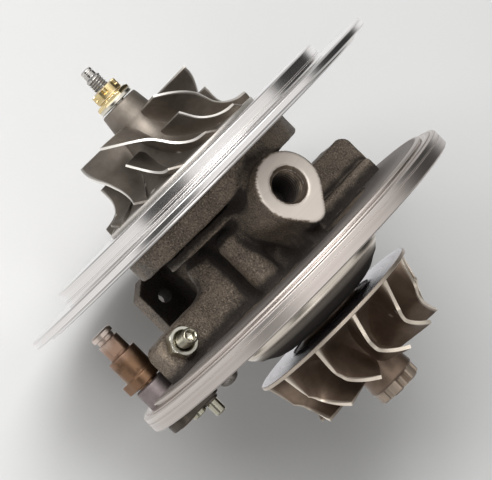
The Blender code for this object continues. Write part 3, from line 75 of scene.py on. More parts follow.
def rounded(corners, steps=4):
    # a line through (x, radius, fillet) corners; each fillet is an arc that touches both sides
    corners = [tuple(c) + (0.0,) * (3 - len(c)) for c in corners]
    line = []
    for k, (x, r, fillet) in enumerate(corners):
        here = np.array((x, r))
        if fillet == 0 or k in (0, len(corners) - 1):
            line.append(here)
            continue
        before = np.array(corners[k - 1][:2]) - here
        after = np.array(corners[k + 1][:2]) - here
        before, after = before / np.linalg.norm(before), after / np.linalg.norm(after)
        half = np.arccos(np.clip(before @ after, -1, 1)) / 2
        reach = fillet / np.tan(half)
        middle = here + (before + after) / np.linalg.norm(before + after) * fillet / np.sin(half)
        one, two = here + before * reach - middle, here + after * reach - middle
        turn = np.arctan2(one[0] * two[1] - one[1] * two[0], one @ two)
        for share in np.linspace(0, 1, steps + 1):
            a = turn * share
            line.append(middle + (one[0] * cos(a) - one[1] * sin(a), one[0] * sin(a) + one[1] * cos(a)))
    return np.array(line)


def supported(profile, closed, reach=0.12):
    # adds a point close to both ends of every long side, so that shading and wear stay near the corners
    line = [profile[0]]
    for one, two in zip(profile, np.roll(profile, -1, axis=0)[: None if closed else -1]):
        length = np.linalg.norm(two - one)
        if length > 4 * reach:
            line += [one + (two - one) * reach / length, two + (one - two) * reach / length]
        line.append(two)
    return np.array(line[:-1] if closed else line)


def signedArea(profile):
    # twice the area inside the profile, above 0 where it runs anticlockwise
    x, r = profile.T
    return np.sum(x * np.roll(r, -1) - np.roll(x, -1) * r)


def cornerWear(profile, closed):
    # how sharply the profile turns outwards at each point, from 0 to 1
    into, out = profile - np.roll(profile, 1, axis=0), np.roll(profile, -1, axis=0) - profile
    turn = np.arctan2(into[:, 0] * out[:, 1] - into[:, 1] * out[:, 0], np.sum(into * out, axis=1))
    if not closed:
        turn[[0, -1]] = 0
    return np.clip(turn * np.sign(signedArea(profile)) / 0.5, 0, 1)


def lathe(name, profile, steps=192, shape=None, axis=(0.0, 0.0), along="x", angle=None):
    # each (x, radius) of the profile goes round the axis; shape(x, radius, turn) may change the radius
    # a profile with both ends on the axis is closed by a point at each end, any other is a loop
    profile = np.asarray(profile, float)
    capped = profile[0, 1] < 1e-9 and profile[-1, 1] < 1e-9
    profile = supported(profile, not capped)
    wear = cornerWear(profile, not capped)
    body = profile[1:-1] if capped else profile
    turn = np.linspace(0, 2 * pi, steps, endpoint=False)[None, :]
    x, radius = [np.repeat(body[:, k:k + 1], steps, axis=1) for k in (0, 1)]
    if shape is not None:
        radius = shape(x, radius, turn + 0 * x)
    points = np.stack([x, radius * np.cos(turn), radius * np.sin(turn)], axis=-1).reshape(-1, 3)
    quads, triangles = gridQuads(len(body), steps, not capped, True), np.empty((0, 3), int)
    if capped:
        count, last, j = len(points), len(points) - steps, np.arange(steps)
        after = (j + 1) % steps
        points = np.concatenate([points, [(profile[0, 0], 0, 0), (profile[-1, 0], 0, 0)]])
        triangles = np.concatenate([np.stack([0 * j + count, after, j], axis=1),
                                    np.stack([0 * j + count + 1, last + j, last + after], axis=1)])
    if signedArea(profile) < 0:
        quads, triangles = quads[:, ::-1], triangles[:, ::-1]
    if along == "z":
        points = points[:, [1, 2, 0]]
        points[:, :2] += axis
    else:
        points[:, 1:] += axis
    piece = meshPiece(name, points, quads, triangles, angle)
    worn = np.repeat(wear[1:-1] if capped else wear, steps)
    maskOf(piece, "worn", np.concatenate([worn, np.zeros(len(points) - len(worn))]))
    return piece


def sixth(turn):
    # the angle to the middle of the nearest sixth of a turn
    return (turn + pi / 6) % (pi / 3) - pi / 6


def hexagon(flats, chamferStart, chamferEnd, slope=0.55):
    # radius of a hexagon across flats, cut at both ends by cones of the given slope
    def shape(x, radius, turn):
        cone = flats / 2 + np.minimum(np.abs(x - chamferStart), np.abs(chamferEnd - x)) / slope
        outer = np.minimum(flats / 2 / np.cos(sixth(turn)), cone)
        return np.where(radius > flats / 2 - 0.01, outer, radius)
    return shape


def screwThread(pitch, depth, start, end):
    # radius less a rounded V that climbs one pitch a turn, faded out at both ends
    def shape(x, radius, turn):
        phase = (x / pitch - turn / (2 * pi)) % 1
        valley = np.clip(1.15 * np.abs(2 * phase - 1) - 0.08, 0, 1)
        fade = np.clip((x - start) / pitch, 0, 1) * np.clip((end - x) / pitch, 0, 1)
        inside = (x >= start) & (x <= end)
        return radius - depth * valley * fade * inside
    return shape


def smoothMin(a, b, width):
    # the lower of two distances, with a fillet of about the given width where they meet
    share = np.clip(0.5 + 0.5 * (b - a) / width, 0, 1)
    return b + (a - b) * share - width * share * (1 - share)


def roundBox(x, y, z, low, high, radius):
    # distance to a box with rounded edges
    low, high = np.array(low, float), np.array(high, float)
    middle, half = (low + high) / 2, (high - low) / 2 - radius
    d = [np.abs(v - m) - h for v, m, h in zip((x, y, z), middle, half)]
    outside = np.sqrt(sum(np.maximum(v, 0) ** 2 for v in d))
    return outside + np.minimum(np.maximum(np.maximum(d[0], d[1]), d[2]), 0) - radius


def extruded(flat, low, high, level, radius):
    # distance to an outline raised from low to high, with rounded edges
    d = flat + radius
    h = np.abs(level - (low + high) / 2) - ((high - low) / 2 - radius)
    return np.minimum(np.maximum(d, h), 0) + np.hypot(np.maximum(d, 0), np.maximum(h, 0)) - radius


def flatBox(x, y, low, high, radius):
    # distance to a flat rectangle with round corners
    dx = np.abs(x - (low[0] + high[0]) / 2) - (high[0] - low[0]) / 2 + radius
    dy = np.abs(y - (low[1] + high[1]) / 2) - (high[1] - low[1]) / 2 + radius
    return np.hypot(np.maximum(dx, 0), np.maximum(dy, 0)) + np.minimum(np.maximum(dx, dy), 0) - radius


def pear(x, y, centre, tip, bigRadius, smallRadius):
    # distance to two circles on the X line and the tangents that join them
    height = tip - centre
    b = (bigRadius - smallRadius) / height
    a = sqrt(1 - b * b)
    px, py = np.abs(y), x - centre
    k = -b * px + a * py
    side = px * a + py * b - bigRadius
    return np.where(k < 0, np.hypot(px, py) - bigRadius,
                    np.where(k > a * height, np.hypot(px, py - height) - smallRadius, side))


def slopeOf(field, points, reach):
    # how much the field rises along each axis, from a little before each point to a little past it
    return np.stack([field(*(points + d).T) - field(*(points - d).T) for d in np.eye(3) * reach], axis=1)


def surfaceOf(field, low, high, step):
    # meshes the level 0 of a distance field: one point in each grid cell that the surface crosses, at
    # the mean of the crossings on the cell's edges, and one face for each grid edge that it crosses;
    # the points then slide along the field's gradient onto the surface
    axes = [np.arange(a, b + step, step) for a, b in zip(low, high)]
    x, y, z = np.meshgrid(*axes, indexing="ij", sparse=True)
    f = field(x, y, z).astype(np.float32)
    inside = f < 0
    size = np.array(f.shape) - 1
    corners = [(i, j, k) for i in (0, 1) for j in (0, 1) for k in (0, 1)]
    cut = lambda array, c: array[c[0]:c[0] + size[0], c[1]:c[1] + size[1], c[2]:c[2] + size[2]]
    total = sum(cut(inside, c).astype(np.int8) for c in corners)
    cells = np.argwhere((total > 0) & (total < 8))
    number = np.full(size, -1, np.int64)
    number[tuple(cells.T)] = np.arange(len(cells))
    value = {c: f[tuple((cells + c).T)] for c in corners}
    spot, hits = np.zeros((len(cells), 3)), np.zeros(len(cells))
    for one in corners:
        for side in [k for k in range(3) if not one[k]]:
            a, b = value[one], value[tuple(v + (k == side) for k, v in enumerate(one))]
            crossed = (a < 0) != (b < 0)
            place = np.array(one, float)[None, :].repeat(len(cells), axis=0)
            place[:, side] += np.where(crossed, a / np.where(crossed, a - b, 1), 0)
            spot += place * crossed[:, None]
            hits += crossed
    points = np.array(low) + step * (cells + spot / hits[:, None])
    quads = []
    for side in range(3):
        b, c = [k for k in range(3) if k != side]
        start = np.delete(inside, -1, axis=side)
        edges = np.argwhere(start != np.delete(inside, 0, axis=side))
        keep = (edges[:, b] > 0) & (edges[:, c] > 0) & (edges[:, b] < size[b]) & (edges[:, c] < size[c])
        edges = edges[keep]
        offsets = np.zeros((4, 3), int)
        offsets[1, b] = offsets[2, b] = offsets[2, c] = offsets[3, c] = -1
        quad = np.stack([number[tuple((edges + o).T)] for o in offsets], axis=1)
        flip = start[tuple(edges.T)] == (side == 1)
        quad[flip] = quad[flip][:, ::-1]
        quads.append(quad)
    reach = step * 0.2
    for _ in range(3):
        level, slope = field(*points.T), slopeOf(field, points, reach) / (2 * reach)
        move = -level[:, None] * slope / np.maximum(np.sum(slope**2, axis=1), 0.2)[:, None]
        length = np.linalg.norm(move, axis=1, keepdims=True)
        points = points + move * np.minimum(1, 0.4 * step / np.maximum(length, 1e-9))
    return points, np.concatenate(quads)


def hermite(stations, values, at):
    # a smooth line through the values at the stations
    stations, values = np.asarray(stations, float), np.asarray(values, float)
    slopes = np.gradient(values, stations, axis=0)
    index = np.clip(np.searchsorted(stations, at) - 1, 0, len(stations) - 2)
    span = (stations[index + 1] - stations[index])[:, None]
    t = (at[:, None] - stations[index][:, None]) / span
    v0, v1, s0, s1 = values[index], values[index + 1], slopes[index], slopes[index + 1]
    return ((2 * t**3 - 3 * t**2 + 1) * v0 + (t**3 - 2 * t**2 + t) * span * s0
            + (3 * t**2 - 2 * t**3) * v1 + (t**3 - t**2) * span * s1)


bladeGrid = {"rows": 48, "columns": 20, "crowding": 1.25, "thinEnds": 0.12, "brightFrom": 0.955,
             "brightOver": 0.03}


def bladeArrays(hub, tip, count, firstTurn, root, edge, fillet, frontBright, fade):
    # a middle surface joins the hub line to the tip line, each given as (x, radius, angle) stations;
    # it is thickened both ways across itself, thick at the hub, thin at the tip, with a fillet at the
    # root, then repeated round the axis
    rows, columns, over = bladeGrid["rows"], bladeGrid["columns"], bladeGrid["brightOver"]
    at = np.linspace(0, 1, rows)
    hub, tip = [hermite(np.linspace(0, 1, len(line)), line, at)[:, None, :] for line in (hub, tip)]
    share = (np.linspace(0, 1, columns) ** bladeGrid["crowding"])[None, :, None]
    x, radius, angle = np.moveaxis(hub * (1 - share) + tip * share, -1, 0)
    points = np.stack([x, radius * np.cos(angle), radius * np.sin(angle)], axis=-1)
    normal = np.cross(np.gradient(points, axis=0), np.gradient(points, axis=1))
    normal /= np.linalg.norm(normal, axis=-1, keepdims=True)
    height = np.linalg.norm(tip - hub, axis=-1, keepdims=True)
    width = root * (1 - share) + edge * share + 2 * fillet * np.exp(-share * height / fillet)
    ends = np.clip(np.minimum(at, 1 - at) / bladeGrid["thinEnds"], 0, 1)[:, None, None]
    width = edge + (width - edge) * ends * (2 - ends)
    flat = np.stack([points + normal * width / 2, points - normal * width / 2]).reshape(-1, 3)
    size = rows * columns
    quads = gridQuads(rows, columns)
    rim = np.concatenate([np.arange(rows) * columns, (rows - 1) * columns + np.arange(1, columns),
                          np.arange(rows - 2, -1, -1) * columns + columns - 1, np.arange(columns - 2, 0, -1)])
    after = np.roll(rim, -1)
    strip = np.stack([rim, after, size + after, size + rim], axis=1)
    faces = np.concatenate([quads[:, ::-1], quads + size, strip[:, ::-1]])
    bright = np.clip((share[0, :, 0] - bladeGrid["brightFrom"]) / over, 0, 1)[None, :]
    bright = bright * (1 - fade * np.clip(at / 0.5 - 1, 0, 1))[:, None]
    bright = np.maximum(bright, frontBright * np.clip(1 - at / over, 0, 1)[:, None])
    turned = []
    for spin in firstTurn + 2 * pi * np.arange(count) / count:
        turned.append(flat @ np.array(((1, 0, 0), (0, cos(spin), sin(spin)), (0, -sin(spin), cos(spin)))))
    faces = np.concatenate([faces + k * len(flat) for k in range(count)])
    return np.concatenate(turned), faces, np.tile(bright.ravel(), 2 * count)


def joined(name, parts, angle=None):
    # one piece from several (points, quads, triangles) arrays
    starts = np.cumsum([0] + [len(part[0]) for part in parts])
    quads = [np.asarray(part[1], int).reshape(-1, 4) + start for part, start in zip(parts, starts)]
    triangles = [np.asarray(part[2], int).reshape(-1, 3) + start for part, start in zip(parts, starts)]
    return meshPiece(name, np.concatenate([part[0] for part in parts]), np.concatenate(quads),
                     np.concatenate(triangles), angle)


def pointsOf(piece):
    # the piece's points, in millimetres
    points = np.empty(len(piece.data.vertices) * 3)
    piece.data.vertices.foreach_get("co", points)
    return points.reshape(-1, 3) / mm


def arraysOf(piece):
    # takes a piece apart into (points, quads, triangles) and removes it
    mesh, points = piece.data, pointsOf(piece)
    totals, corners = np.empty(len(mesh.polygons), int), np.empty(len(mesh.loops), int)
    mesh.polygons.foreach_get("loop_total", totals)
    mesh.loops.foreach_get("vertex_index", corners)
    starts = np.concatenate([[0], np.cumsum(totals)[:-1]])
    quads = corners[starts[totals == 4][:, None] + np.arange(4)]
    triangles = corners[starts[totals == 3][:, None] + np.arange(3)]
    bpy.data.objects.remove(piece, do_unlink=True)
    bpy.data.meshes.remove(mesh)
    return points, quads, triangles


def maskOf(piece, name, values):
    # a number for each point, which the material reads by its name
    layer = piece.data.attributes.new(name, "FLOAT", "POINT")
    layer.data.foreach_set("value", np.asarray(values, np.float32))


hollowReaches = (1.5, 3.5, 6.0)


def shutAlong(field, points, outwards):
    # at a few distances from each point, the share by which the field falls short of that distance, as a mean
    short = [1 - np.clip(field(*(points + outwards * reach).T) / reach, 0, 1) for reach in hollowReaches]
    return np.mean(short, axis=0)


def hollowness(field, points):
    # how shut in each point of the field's surface is, looking straight out of it
    slope = slopeOf(field, points, 0.2)
    return shutAlong(field, points, slope / np.maximum(np.linalg.norm(slope, axis=1, keepdims=True), 1e-9))


def addNode(tree, kind, values=None, **settings):
    # a node whose sockets, by name or number, take a plain value or another node's output
    node = tree.nodes.new(kind)
    for key, value in settings.items():
        setattr(node, key, value)
    for key, value in (values or {}).items():
        if isinstance(value, bpy.types.NodeSocket):
            tree.links.new(value, node.inputs[key])
        else:
            node.inputs[key].default_value = value
    return node


def feed(tree, node, **values):
    # links outputs to the node's sockets of those names
    for key, value in values.items():
        tree.links.new(value, node.inputs[key.replace("_", " ")])


def startGroup(name, inputs, outputs):
    # an empty group whose inputs and outputs are plain numbers
    group = bpy.data.node_groups.new(name, "ShaderNodeTree")
    for label, value in inputs.items():
        socket = group.interface.new_socket(label, in_out="INPUT", socket_type="NodeSocketFloat")
        socket.default_value = value
    for label in outputs:
        group.interface.new_socket(label, in_out="OUTPUT", socket_type="NodeSocketFloat")
    return group, group.nodes.new("NodeGroupInput").outputs, group.nodes.new("NodeGroupOutput")


def objectPlace(tree):
    # where a point lies in the object's own frame, in metres
    return addNode(tree, "ShaderNodeTexCoord").outputs["Object"]


def painted(tree, name):
    # the piece's own mask of that name, 0 where it has none
    return addNode(tree, "ShaderNodeAttribute", attribute_name=name).outputs["Fac"]


def maths(tree, operation, a, b=0.0, c=0.0, clamp=False):
    # one sum on up to three numbers
    node = addNode(tree, "ShaderNodeMath", {0: a, 1: b, 2: c}, operation=operation, use_clamp=clamp)
    return node.outputs[0]


def scaled(tree, value, factor, plus=0.0):
    # value times factor, plus a third
    return maths(tree, "MULTIPLY_ADD", value, factor, plus)


def noise(tree, place, scale, detail, roughness, along=None):
    # noise in space, or along one number where that is given
    values = {"Scale": scale, "Detail": detail, "Roughness": roughness}
    values.update({"Vector": place} if along is None else {"W": along})
    dimensions = "3D" if along is None else "1D"
    return addNode(tree, "ShaderNodeTexNoise", values, noise_dimensions=dimensions).outputs[0]


def ramp(tree, value, low, high):
    # a soft step from 0 at low to 1 at high
    values = {"Value": value, "From Min": low, "From Max": high}
    return addNode(tree, "ShaderNodeMapRange", values, interpolation_type="SMOOTHSTEP").outputs[0]


def blend(tree, share, one, two):
    # sockets 0, 6 and 7 of a colour mix are its share and its two colours, and output 2 is the colour
    return addNode(tree, "ShaderNodeMix", {0: share, 6: one, 7: two}, data_type="RGBA").outputs[2]


def makeSandGrain():
    # sand-cast skin: fused grains, small pits and a slow change of tone
    group, given, out = startGroup("sandGrain", {"Grain": 1150.0}, ("Height", "Tone", "Speck", "Pit"))
    place, grain = objectPlace(group), given["Grain"]
    fine = noise(group, place, grain, 3.0, 0.65)
    cells = addNode(group, "ShaderNodeTexVoronoi", {"Vector": place, "Scale": grain}).outputs["Distance"]
    pits = ramp(group, noise(group, place, scaled(group, grain, 0.5), 2.0, 0.5), 0.36, 0.28)
    height = scaled(group, ramp(group, fine, 0.34, 0.66), 0.7,
                    scaled(group, cells, -0.5, scaled(group, pits, -0.8)))
    feed(group, out, Height=height, Tone=ramp(group, noise(group, place, 160.0, 4.0, 0.6), 0.3, 0.7),
         Speck=ramp(group, fine, 0.50, 0.66),
         Pit=maths(group, "MAXIMUM", pits, ramp(group, fine, 0.47, 0.34)))
    return group


def makeTurnedRings():
    # lathe lines round the rotor's axis: a height and a tone that change only with radius and length
    group, given, out = startGroup("turnedRings", {"Lines": 2600.0}, ("Height", "Tone"))
    x, y, z = addNode(group, "ShaderNodeSeparateXYZ", {0: objectPlace(group)}).outputs
    along = scaled(group, x, 1.37, maths(group, "SQRT", scaled(group, y, y, scaled(group, z, z))))
    fine = noise(group, None, given["Lines"], 2.0, 0.7, along)
    broad = noise(group, None, 320.0, 2.0, 0.5, along)
    tone = ramp(group, scaled(group, fine, 0.5, scaled(group, broad, 0.5)), 0.3, 0.7)
    feed(group, out, Height=scaled(group, broad, 0.5, fine), Tone=tone)
    return group


def makeWornEdge():
    # how far a spot stands out from the surface round it, broken up by noise
    group, given, out = startGroup("wornEdge", {"Start": 0.53, "Width": 0.05}, ("Mask",))
    point = addNode(group, "ShaderNodeNewGeometry").outputs["Pointiness"]
    rough = noise(group, objectPlace(group), 900.0, 3.0, 0.6)
    moved = scaled(group, maths(group, "SUBTRACT", rough, 0.5), 0.04, point)
    past = maths(group, "SUBTRACT", moved, given["Start"])
    feed(group, out, Mask=maths(group, "DIVIDE", past, given["Width"], clamp=True))
    return group


def makeHandled():
    # faint smudges and small marks left by handling
    group, given, out = startGroup("handled", {"Amount": 1.0}, ("Smudge", "Marks"))
    place = objectPlace(group)
    smudge = ramp(group, noise(group, place, 75.0, 5.0, 0.62), 0.40, 0.72)
    drawn = addNode(group, "ShaderNodeMapping", {"Vector": place, "Scale": (1.0, 0.12, 0.3)}).outputs[0]
    marks = ramp(group, noise(group, drawn, 1400.0, 2.0, 0.6), 0.66, 0.74)
    feed(group, out, Smudge=scaled(group, smudge, given["Amount"]),
         Marks=scaled(group, marks, given["Amount"]))
    return group


sandGrain, turnedRings, wornEdge, handled = makeSandGrain(), makeTurnedRings(), makeWornEdge(), makeHandled()


def placed(tree, group, **values):
    # the outputs of a group that has this material's own values
    return addNode(tree, "ShaderNodeGroup", values, node_tree=group).outputs


def startMaterial(name, **values):
    # a material with one Principled BSDF; plain values go straight to its sockets
    material = bpy.data.materials.new(name)
    material.use_nodes = True
    tree = material.node_tree
    shader = tree.nodes["Principled BSDF"]
    for key, value in values.items():
        shader.inputs[key.replace("_", " ")].default_value = value
    return material, tree, shader


def bump(tree, shader, height, distance, strength=1.0):
    # distance in millimetres
    values = {"Height": height, "Strength": strength, "Distance": distance * mm}
    feed(tree, shader, Normal=addNode(tree, "ShaderNodeBump", values).outputs[0])


def rgb(red, green, blue):
    # a colour as picked from a screen, 0 to 255, made linear
    linear = [((v / 255 + 0.055) / 1.055) ** 2.4 if v > 10 else v / 3294 for v in (red, green, blue)]
    return (*linear, 1.0)


# the second of these colours is painted shade on turned metal, and also soot on the heat shield's front; the
# third is painted shade on cast metal, and also the colour of the sand's pits
wornBright, shadeAndSoot, deepDark = rgb(238, 234, 228), rgb(48, 42, 39), rgb(40, 34, 31)
sandCast = {"dark": rgb(100, 90, 80), "pale": rgb(138, 125, 111), "speck": rgb(176, 160, 140),
            "pitAndShade": deepDark, "machined": rgb(206, 196, 186), "machinedTint": rgb(176, 166, 156),
            "grain": 2300.0, "lines": 3200.0, "depth": 0.15, "shutFrom": 0.10, "shutTo": 0.50}


def makeSandCast():
    # cast skin with specks, pits and worn corners, smooth where it is machined, and painted shade, dark and
    # dull, where it is shut in
    c = sandCast
    material, tree, shader = startMaterial("sandCast")
    grain = placed(tree, sandGrain, Grain=c["grain"])
    rings = placed(tree, turnedRings, Lines=c["lines"])
    worn = placed(tree, wornEdge, Start=0.535, Width=0.06)["Mask"]
    cut = painted(tree, "machined")
    skin = blend(tree, grain["Tone"], c["dark"], c["pale"])
    for share, mask, tone in ((0.6, grain["Speck"], "speck"), (0.62, grain["Pit"], "pitAndShade"),
                              (0.45, worn, "speck")):
        skin = blend(tree, scaled(tree, mask, share), skin, c[tone])
    metal = blend(tree, scaled(tree, rings["Tone"], 0.25), c["machined"], c["machinedTint"])
    # painted shade: where the surface is shut in, and on the drain's top, the skin takes the pits' dark
    # colour and loses its shine
    paintedShade = ramp(tree, painted(tree, "hollow"), c["shutFrom"], c["shutTo"])
    skin = blend(tree, scaled(tree, paintedShade, 0.92), blend(tree, cut, skin, metal), c["pitAndShade"])
    rough = scaled(tree, paintedShade, 0.42, scaled(tree, grain["Tone"], 0.10, 0.46))
    feed(tree, shader, Base_Color=skin, Metallic=scaled(tree, paintedShade, -0.40, 0.45),
         Roughness=scaled(tree, cut, -0.06, rough))
    bump(tree, shader, scaled(tree, grain["Height"], scaled(tree, cut, -0.95, 1.0)), c["depth"], 0.9)
    return material


def makeTurnedMetal(name, colour, tint, roughness, spread, lines, depth, wear, smudge=1.0, metallic=1.0):
    # machined metal: lathe lines, bright worn edges, smudges that dull the shine, painted shade where it is
    # shut in, with soot on the heat shield's front as well
    material, tree, shader = startMaterial(name)
    rings = placed(tree, turnedRings, Lines=lines)
    hands = placed(tree, handled, Amount=smudge)
    corner, paintedShade = painted(tree, "worn"), painted(tree, "hollow")
    worn = scaled(tree, corner, ramp(tree, noise(tree, objectPlace(tree), 900.0, 3.0, 0.6), 0.3, 0.6))
    base = blend(tree, rings["Tone"], rgb(*colour), rgb(*tint))
    # the last of these blends is painted shade
    for share, mask, tone in ((0.22, hands["Smudge"], rgb(*tint)), (wear, worn, wornBright),
                              (0.95, paintedShade, shadeAndSoot)):
        base = blend(tree, scaled(tree, mask, share), base, tone)
    rough = scaled(tree, rings["Tone"], spread, roughness)
    for share, mask in ((0.10, hands["Smudge"]), (0.08, hands["Marks"]), (0.38, corner), (0.5, paintedShade)):
        rough = scaled(tree, mask, share, rough)
    feed(tree, shader, Base_Color=base, Roughness=rough,
         Metallic=scaled(tree, paintedShade, -0.9 * metallic, metallic))
    bump(tree, shader, scaled(tree, hands["Marks"], -0.6, rings["Height"]), depth)
    return material


def makeCastMetal(name, colour, tint, edgeColour, roughness, grain, depth, metallic=1.0):
    # fine cast or blasted metal, with the edges of blades machined bright
    material, tree, shader = startMaterial(name, Metallic=metallic)
    place = objectPlace(tree)
    smudge = placed(tree, handled, Amount=1.0)["Smudge"]
    worn = placed(tree, wornEdge, Start=0.55, Width=0.09)["Mask"]
    broad = ramp(tree, noise(tree, place, 120.0, 4.0, 0.6), 0.3, 0.7)
    edge = painted(tree, "edge")
    base = blend(tree, broad, rgb(*colour), rgb(*tint))
    # painted shade where the piece is shut in
    base = blend(tree, scaled(tree, painted(tree, "hollow"), 0.8), base, deepDark)
    base = blend(tree, maths(tree, "MAXIMUM", edge, scaled(tree, worn, 0.6)), base, rgb(*edgeColour))
    rough = scaled(tree, smudge, 0.08, scaled(tree, broad, 0.10, roughness))
    feed(tree, shader, Base_Color=base, Roughness=scaled(tree, edge, -0.10, rough))
    bump(tree, shader, noise(tree, place, grain, 3.0, 0.6), depth)
    return material


heatTint = {"bare": rgb(206, 192, 182), "rose": rgb(152, 125, 108), "brown": rgb(122, 95, 74),
            "dark": rgb(46, 35, 28), "start": -27.0, "middle": -22.5, "end": -17.0}


def makeTintedSteel():
    # steel that heat has coloured: bare at the crank's tip, brown towards the hot flange, with dark patches
    h = heatTint
    material, tree, shader = startMaterial("crankSteel", Metallic=1.0)
    place = objectPlace(tree)
    smudge = placed(tree, handled, Amount=1.0)["Smudge"]
    worn = placed(tree, wornEdge, Start=0.54, Width=0.08)["Mask"]
    patch = noise(tree, place, 260.0, 4.0, 0.6)
    x = addNode(tree, "ShaderNodeSeparateXYZ", {0: place}).outputs[0]
    at = scaled(tree, maths(tree, "SUBTRACT", patch, 0.5), 0.006, x)
    base = blend(tree, ramp(tree, at, h["start"] * mm, h["middle"] * mm), h["bare"], h["rose"])
    base = blend(tree, ramp(tree, at, h["middle"] * mm, h["end"] * mm), base, h["brown"])
    base = blend(tree, scaled(tree, ramp(tree, patch, 0.52, 0.75), 0.6), base, h["dark"])
    base = blend(tree, scaled(tree, worn, 0.4), base, h["bare"])
    feed(tree, shader, Base_Color=base, Roughness=scaled(tree, smudge, 0.12, 0.30))
    bump(tree, shader, noise(tree, place, 2400.0, 3.0, 0.6), 0.02)
    return material


turnedFinishes = {
    # name, colour, tint, roughness and its spread, lines, their depth in mm, wear, smudges, metallic
    "flangeSteel": ("flangeSteel", (197, 189, 183), (180, 171, 165), 0.30, 0.05, 2200.0, 0.0006, 0.12, 0.12),
    "threadSteel": ("threadSteel", (150, 136, 120), (104, 92, 80), 0.30, 0.12, 2600.0, 0.004, 0.6),
    "backplate": ("polishedPlate", (231, 228, 226), (221, 217, 214), 0.18, 0.03, 1500.0, 0.0001, 0.2, 0.05),
    # the turbine disc's ground back: its bluish white is a painted reflection of the pale room
    "backSteel": ("groundBack", (214, 213, 220), (192, 191, 197), 0.26, 0.05, 2200.0, 0.0004, 0.3, 0.2),
    "shield_steel": ("pressedSteel", (214, 206, 194), (196, 186, 172), 0.27, 0.05, 1500.0, 0.0008, 0.3, 0.3),
    "steel": ("groundSteel", (212, 209, 205), (176, 172, 167), 0.14, 0.08, 3400.0, 0.003, 0.5),
    "dark_steel": ("darkSteel", (120, 112, 104), (86, 78, 72), 0.34, 0.14, 3000.0, 0.010, 0.5),
    "plated_steel": ("brightPlating", (230, 226, 214), (196, 190, 176), 0.16, 0.08, 2800.0, 0.006, 0.5),
    "tinted_steel": ("heatTintedSteel", (176, 120, 82), (120, 78, 52), 0.26, 0.12, 2600.0, 0.010, 0.4),
    "gold_plate": ("goldPlating", (230, 212, 164), (196, 174, 124), 0.18, 0.08, 2800.0, 0.003, 0.6),
    "bronze": ("bearingBronze", (186, 142, 84), (150, 108, 60), 0.30, 0.12, 3000.0, 0.008, 0.4),
    "seal": ("sealRubber", (30, 29, 28), (44, 42, 40), 0.5, 0.1, 1600.0, 0.012, 0.0, 1.0, 0.0),
}
castFinishes = {
    # name, colour, tint, colour of the edges,
    # roughness, grain, its depth in mm, metallic
    "wheel_aluminium": ("satinAluminium", (134, 126, 117), (108, 101, 93), (236, 232, 226), 0.53, 2600.0,
                        0.02),
    # the crank bush's lilac grey is painted shadow, the colour of the floor's shadow
    "bushSteel": ("bushSteel", (150, 140, 140), (122, 112, 110), (205, 196, 192), 0.46, 2600.0, 0.02),
    "nickel": ("nickelPlating", (170, 166, 150), (136, 131, 116), (232, 230, 220), 0.24, 3000.0, 0.010),
    # the crank arm is darkened to sink into the shade around it: painted shade
    "armSteel": ("armSteel", (92, 85, 78), (66, 60, 54), (176, 168, 156), 0.40, 2200.0, 0.03),
    "heat_alloy": ("heatAlloy", (126, 108, 93), (96, 80, 67), (226, 214, 198), 0.40, 2200.0, 0.035, 0.7),
}
finishes = {"casting": makeSandCast(), "crankSteel": makeTintedSteel()}
finishes.update({key: makeTurnedMetal(*values) for key, values in turnedFinishes.items()})
finishes.update({key: makeCastMetal(*values) for key, values in castFinishes.items()})
for nodeName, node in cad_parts.items():
    for slot in node.material_slots:
        known = [finishes[key] for key in finishes if slot.material and slot.material.name.startswith(key)]
        if known:
            slot.material = known[0]
        elif slot.material:
            print("no finish for", nodeName, slot.material.name)
print("materials made")


def fitted(piece, body, node, finish):
    # the body that a piece rides on, the node that it stands for, its slot, and what it looks like
    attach(piece, body)
    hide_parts(node)
    piece.data.materials.append(finishes[finish])


view = {"target": (-17.7, -1.245, -0.661), "distance": 618.8, "tilt": 2.75, "lens": 183.0,
        "toward": (0, -0.469, 0.883), "up": (0, 0.883, 0.469)}


def placeCamera():
    # the photograph is turned by an eighth of a turn: the rotor's axis runs down to the right
    tilt = radians(view["tilt"])
    axis, toward, up = Vector((1, 0, 0)), Vector(view["toward"]), Vector(view["up"])
    back = (toward * cos(tilt) - axis * sin(tilt)).normalized()
    across = (axis * cos(tilt) + toward * sin(tilt)).normalized()
    right, top = (across + up) / sqrt(2), (up - across) / sqrt(2)
    spot = (Vector(view["target"]) + back * view["distance"]) * mm
    camera = bpy.data.objects.new("camera", bpy.data.cameras.new("camera"))
    camera.data.lens = view["lens"]
    camera.data.sensor_width = 36
    camera.data.clip_start = 0.01
    camera.matrix_world = Matrix.Translation(spot) @ Matrix((right, top, back)).transposed().to_4x4()
    bpy.context.scene.collection.objects.link(camera)
    bpy.context.scene.camera = camera


placeCamera()
print("camera placed")

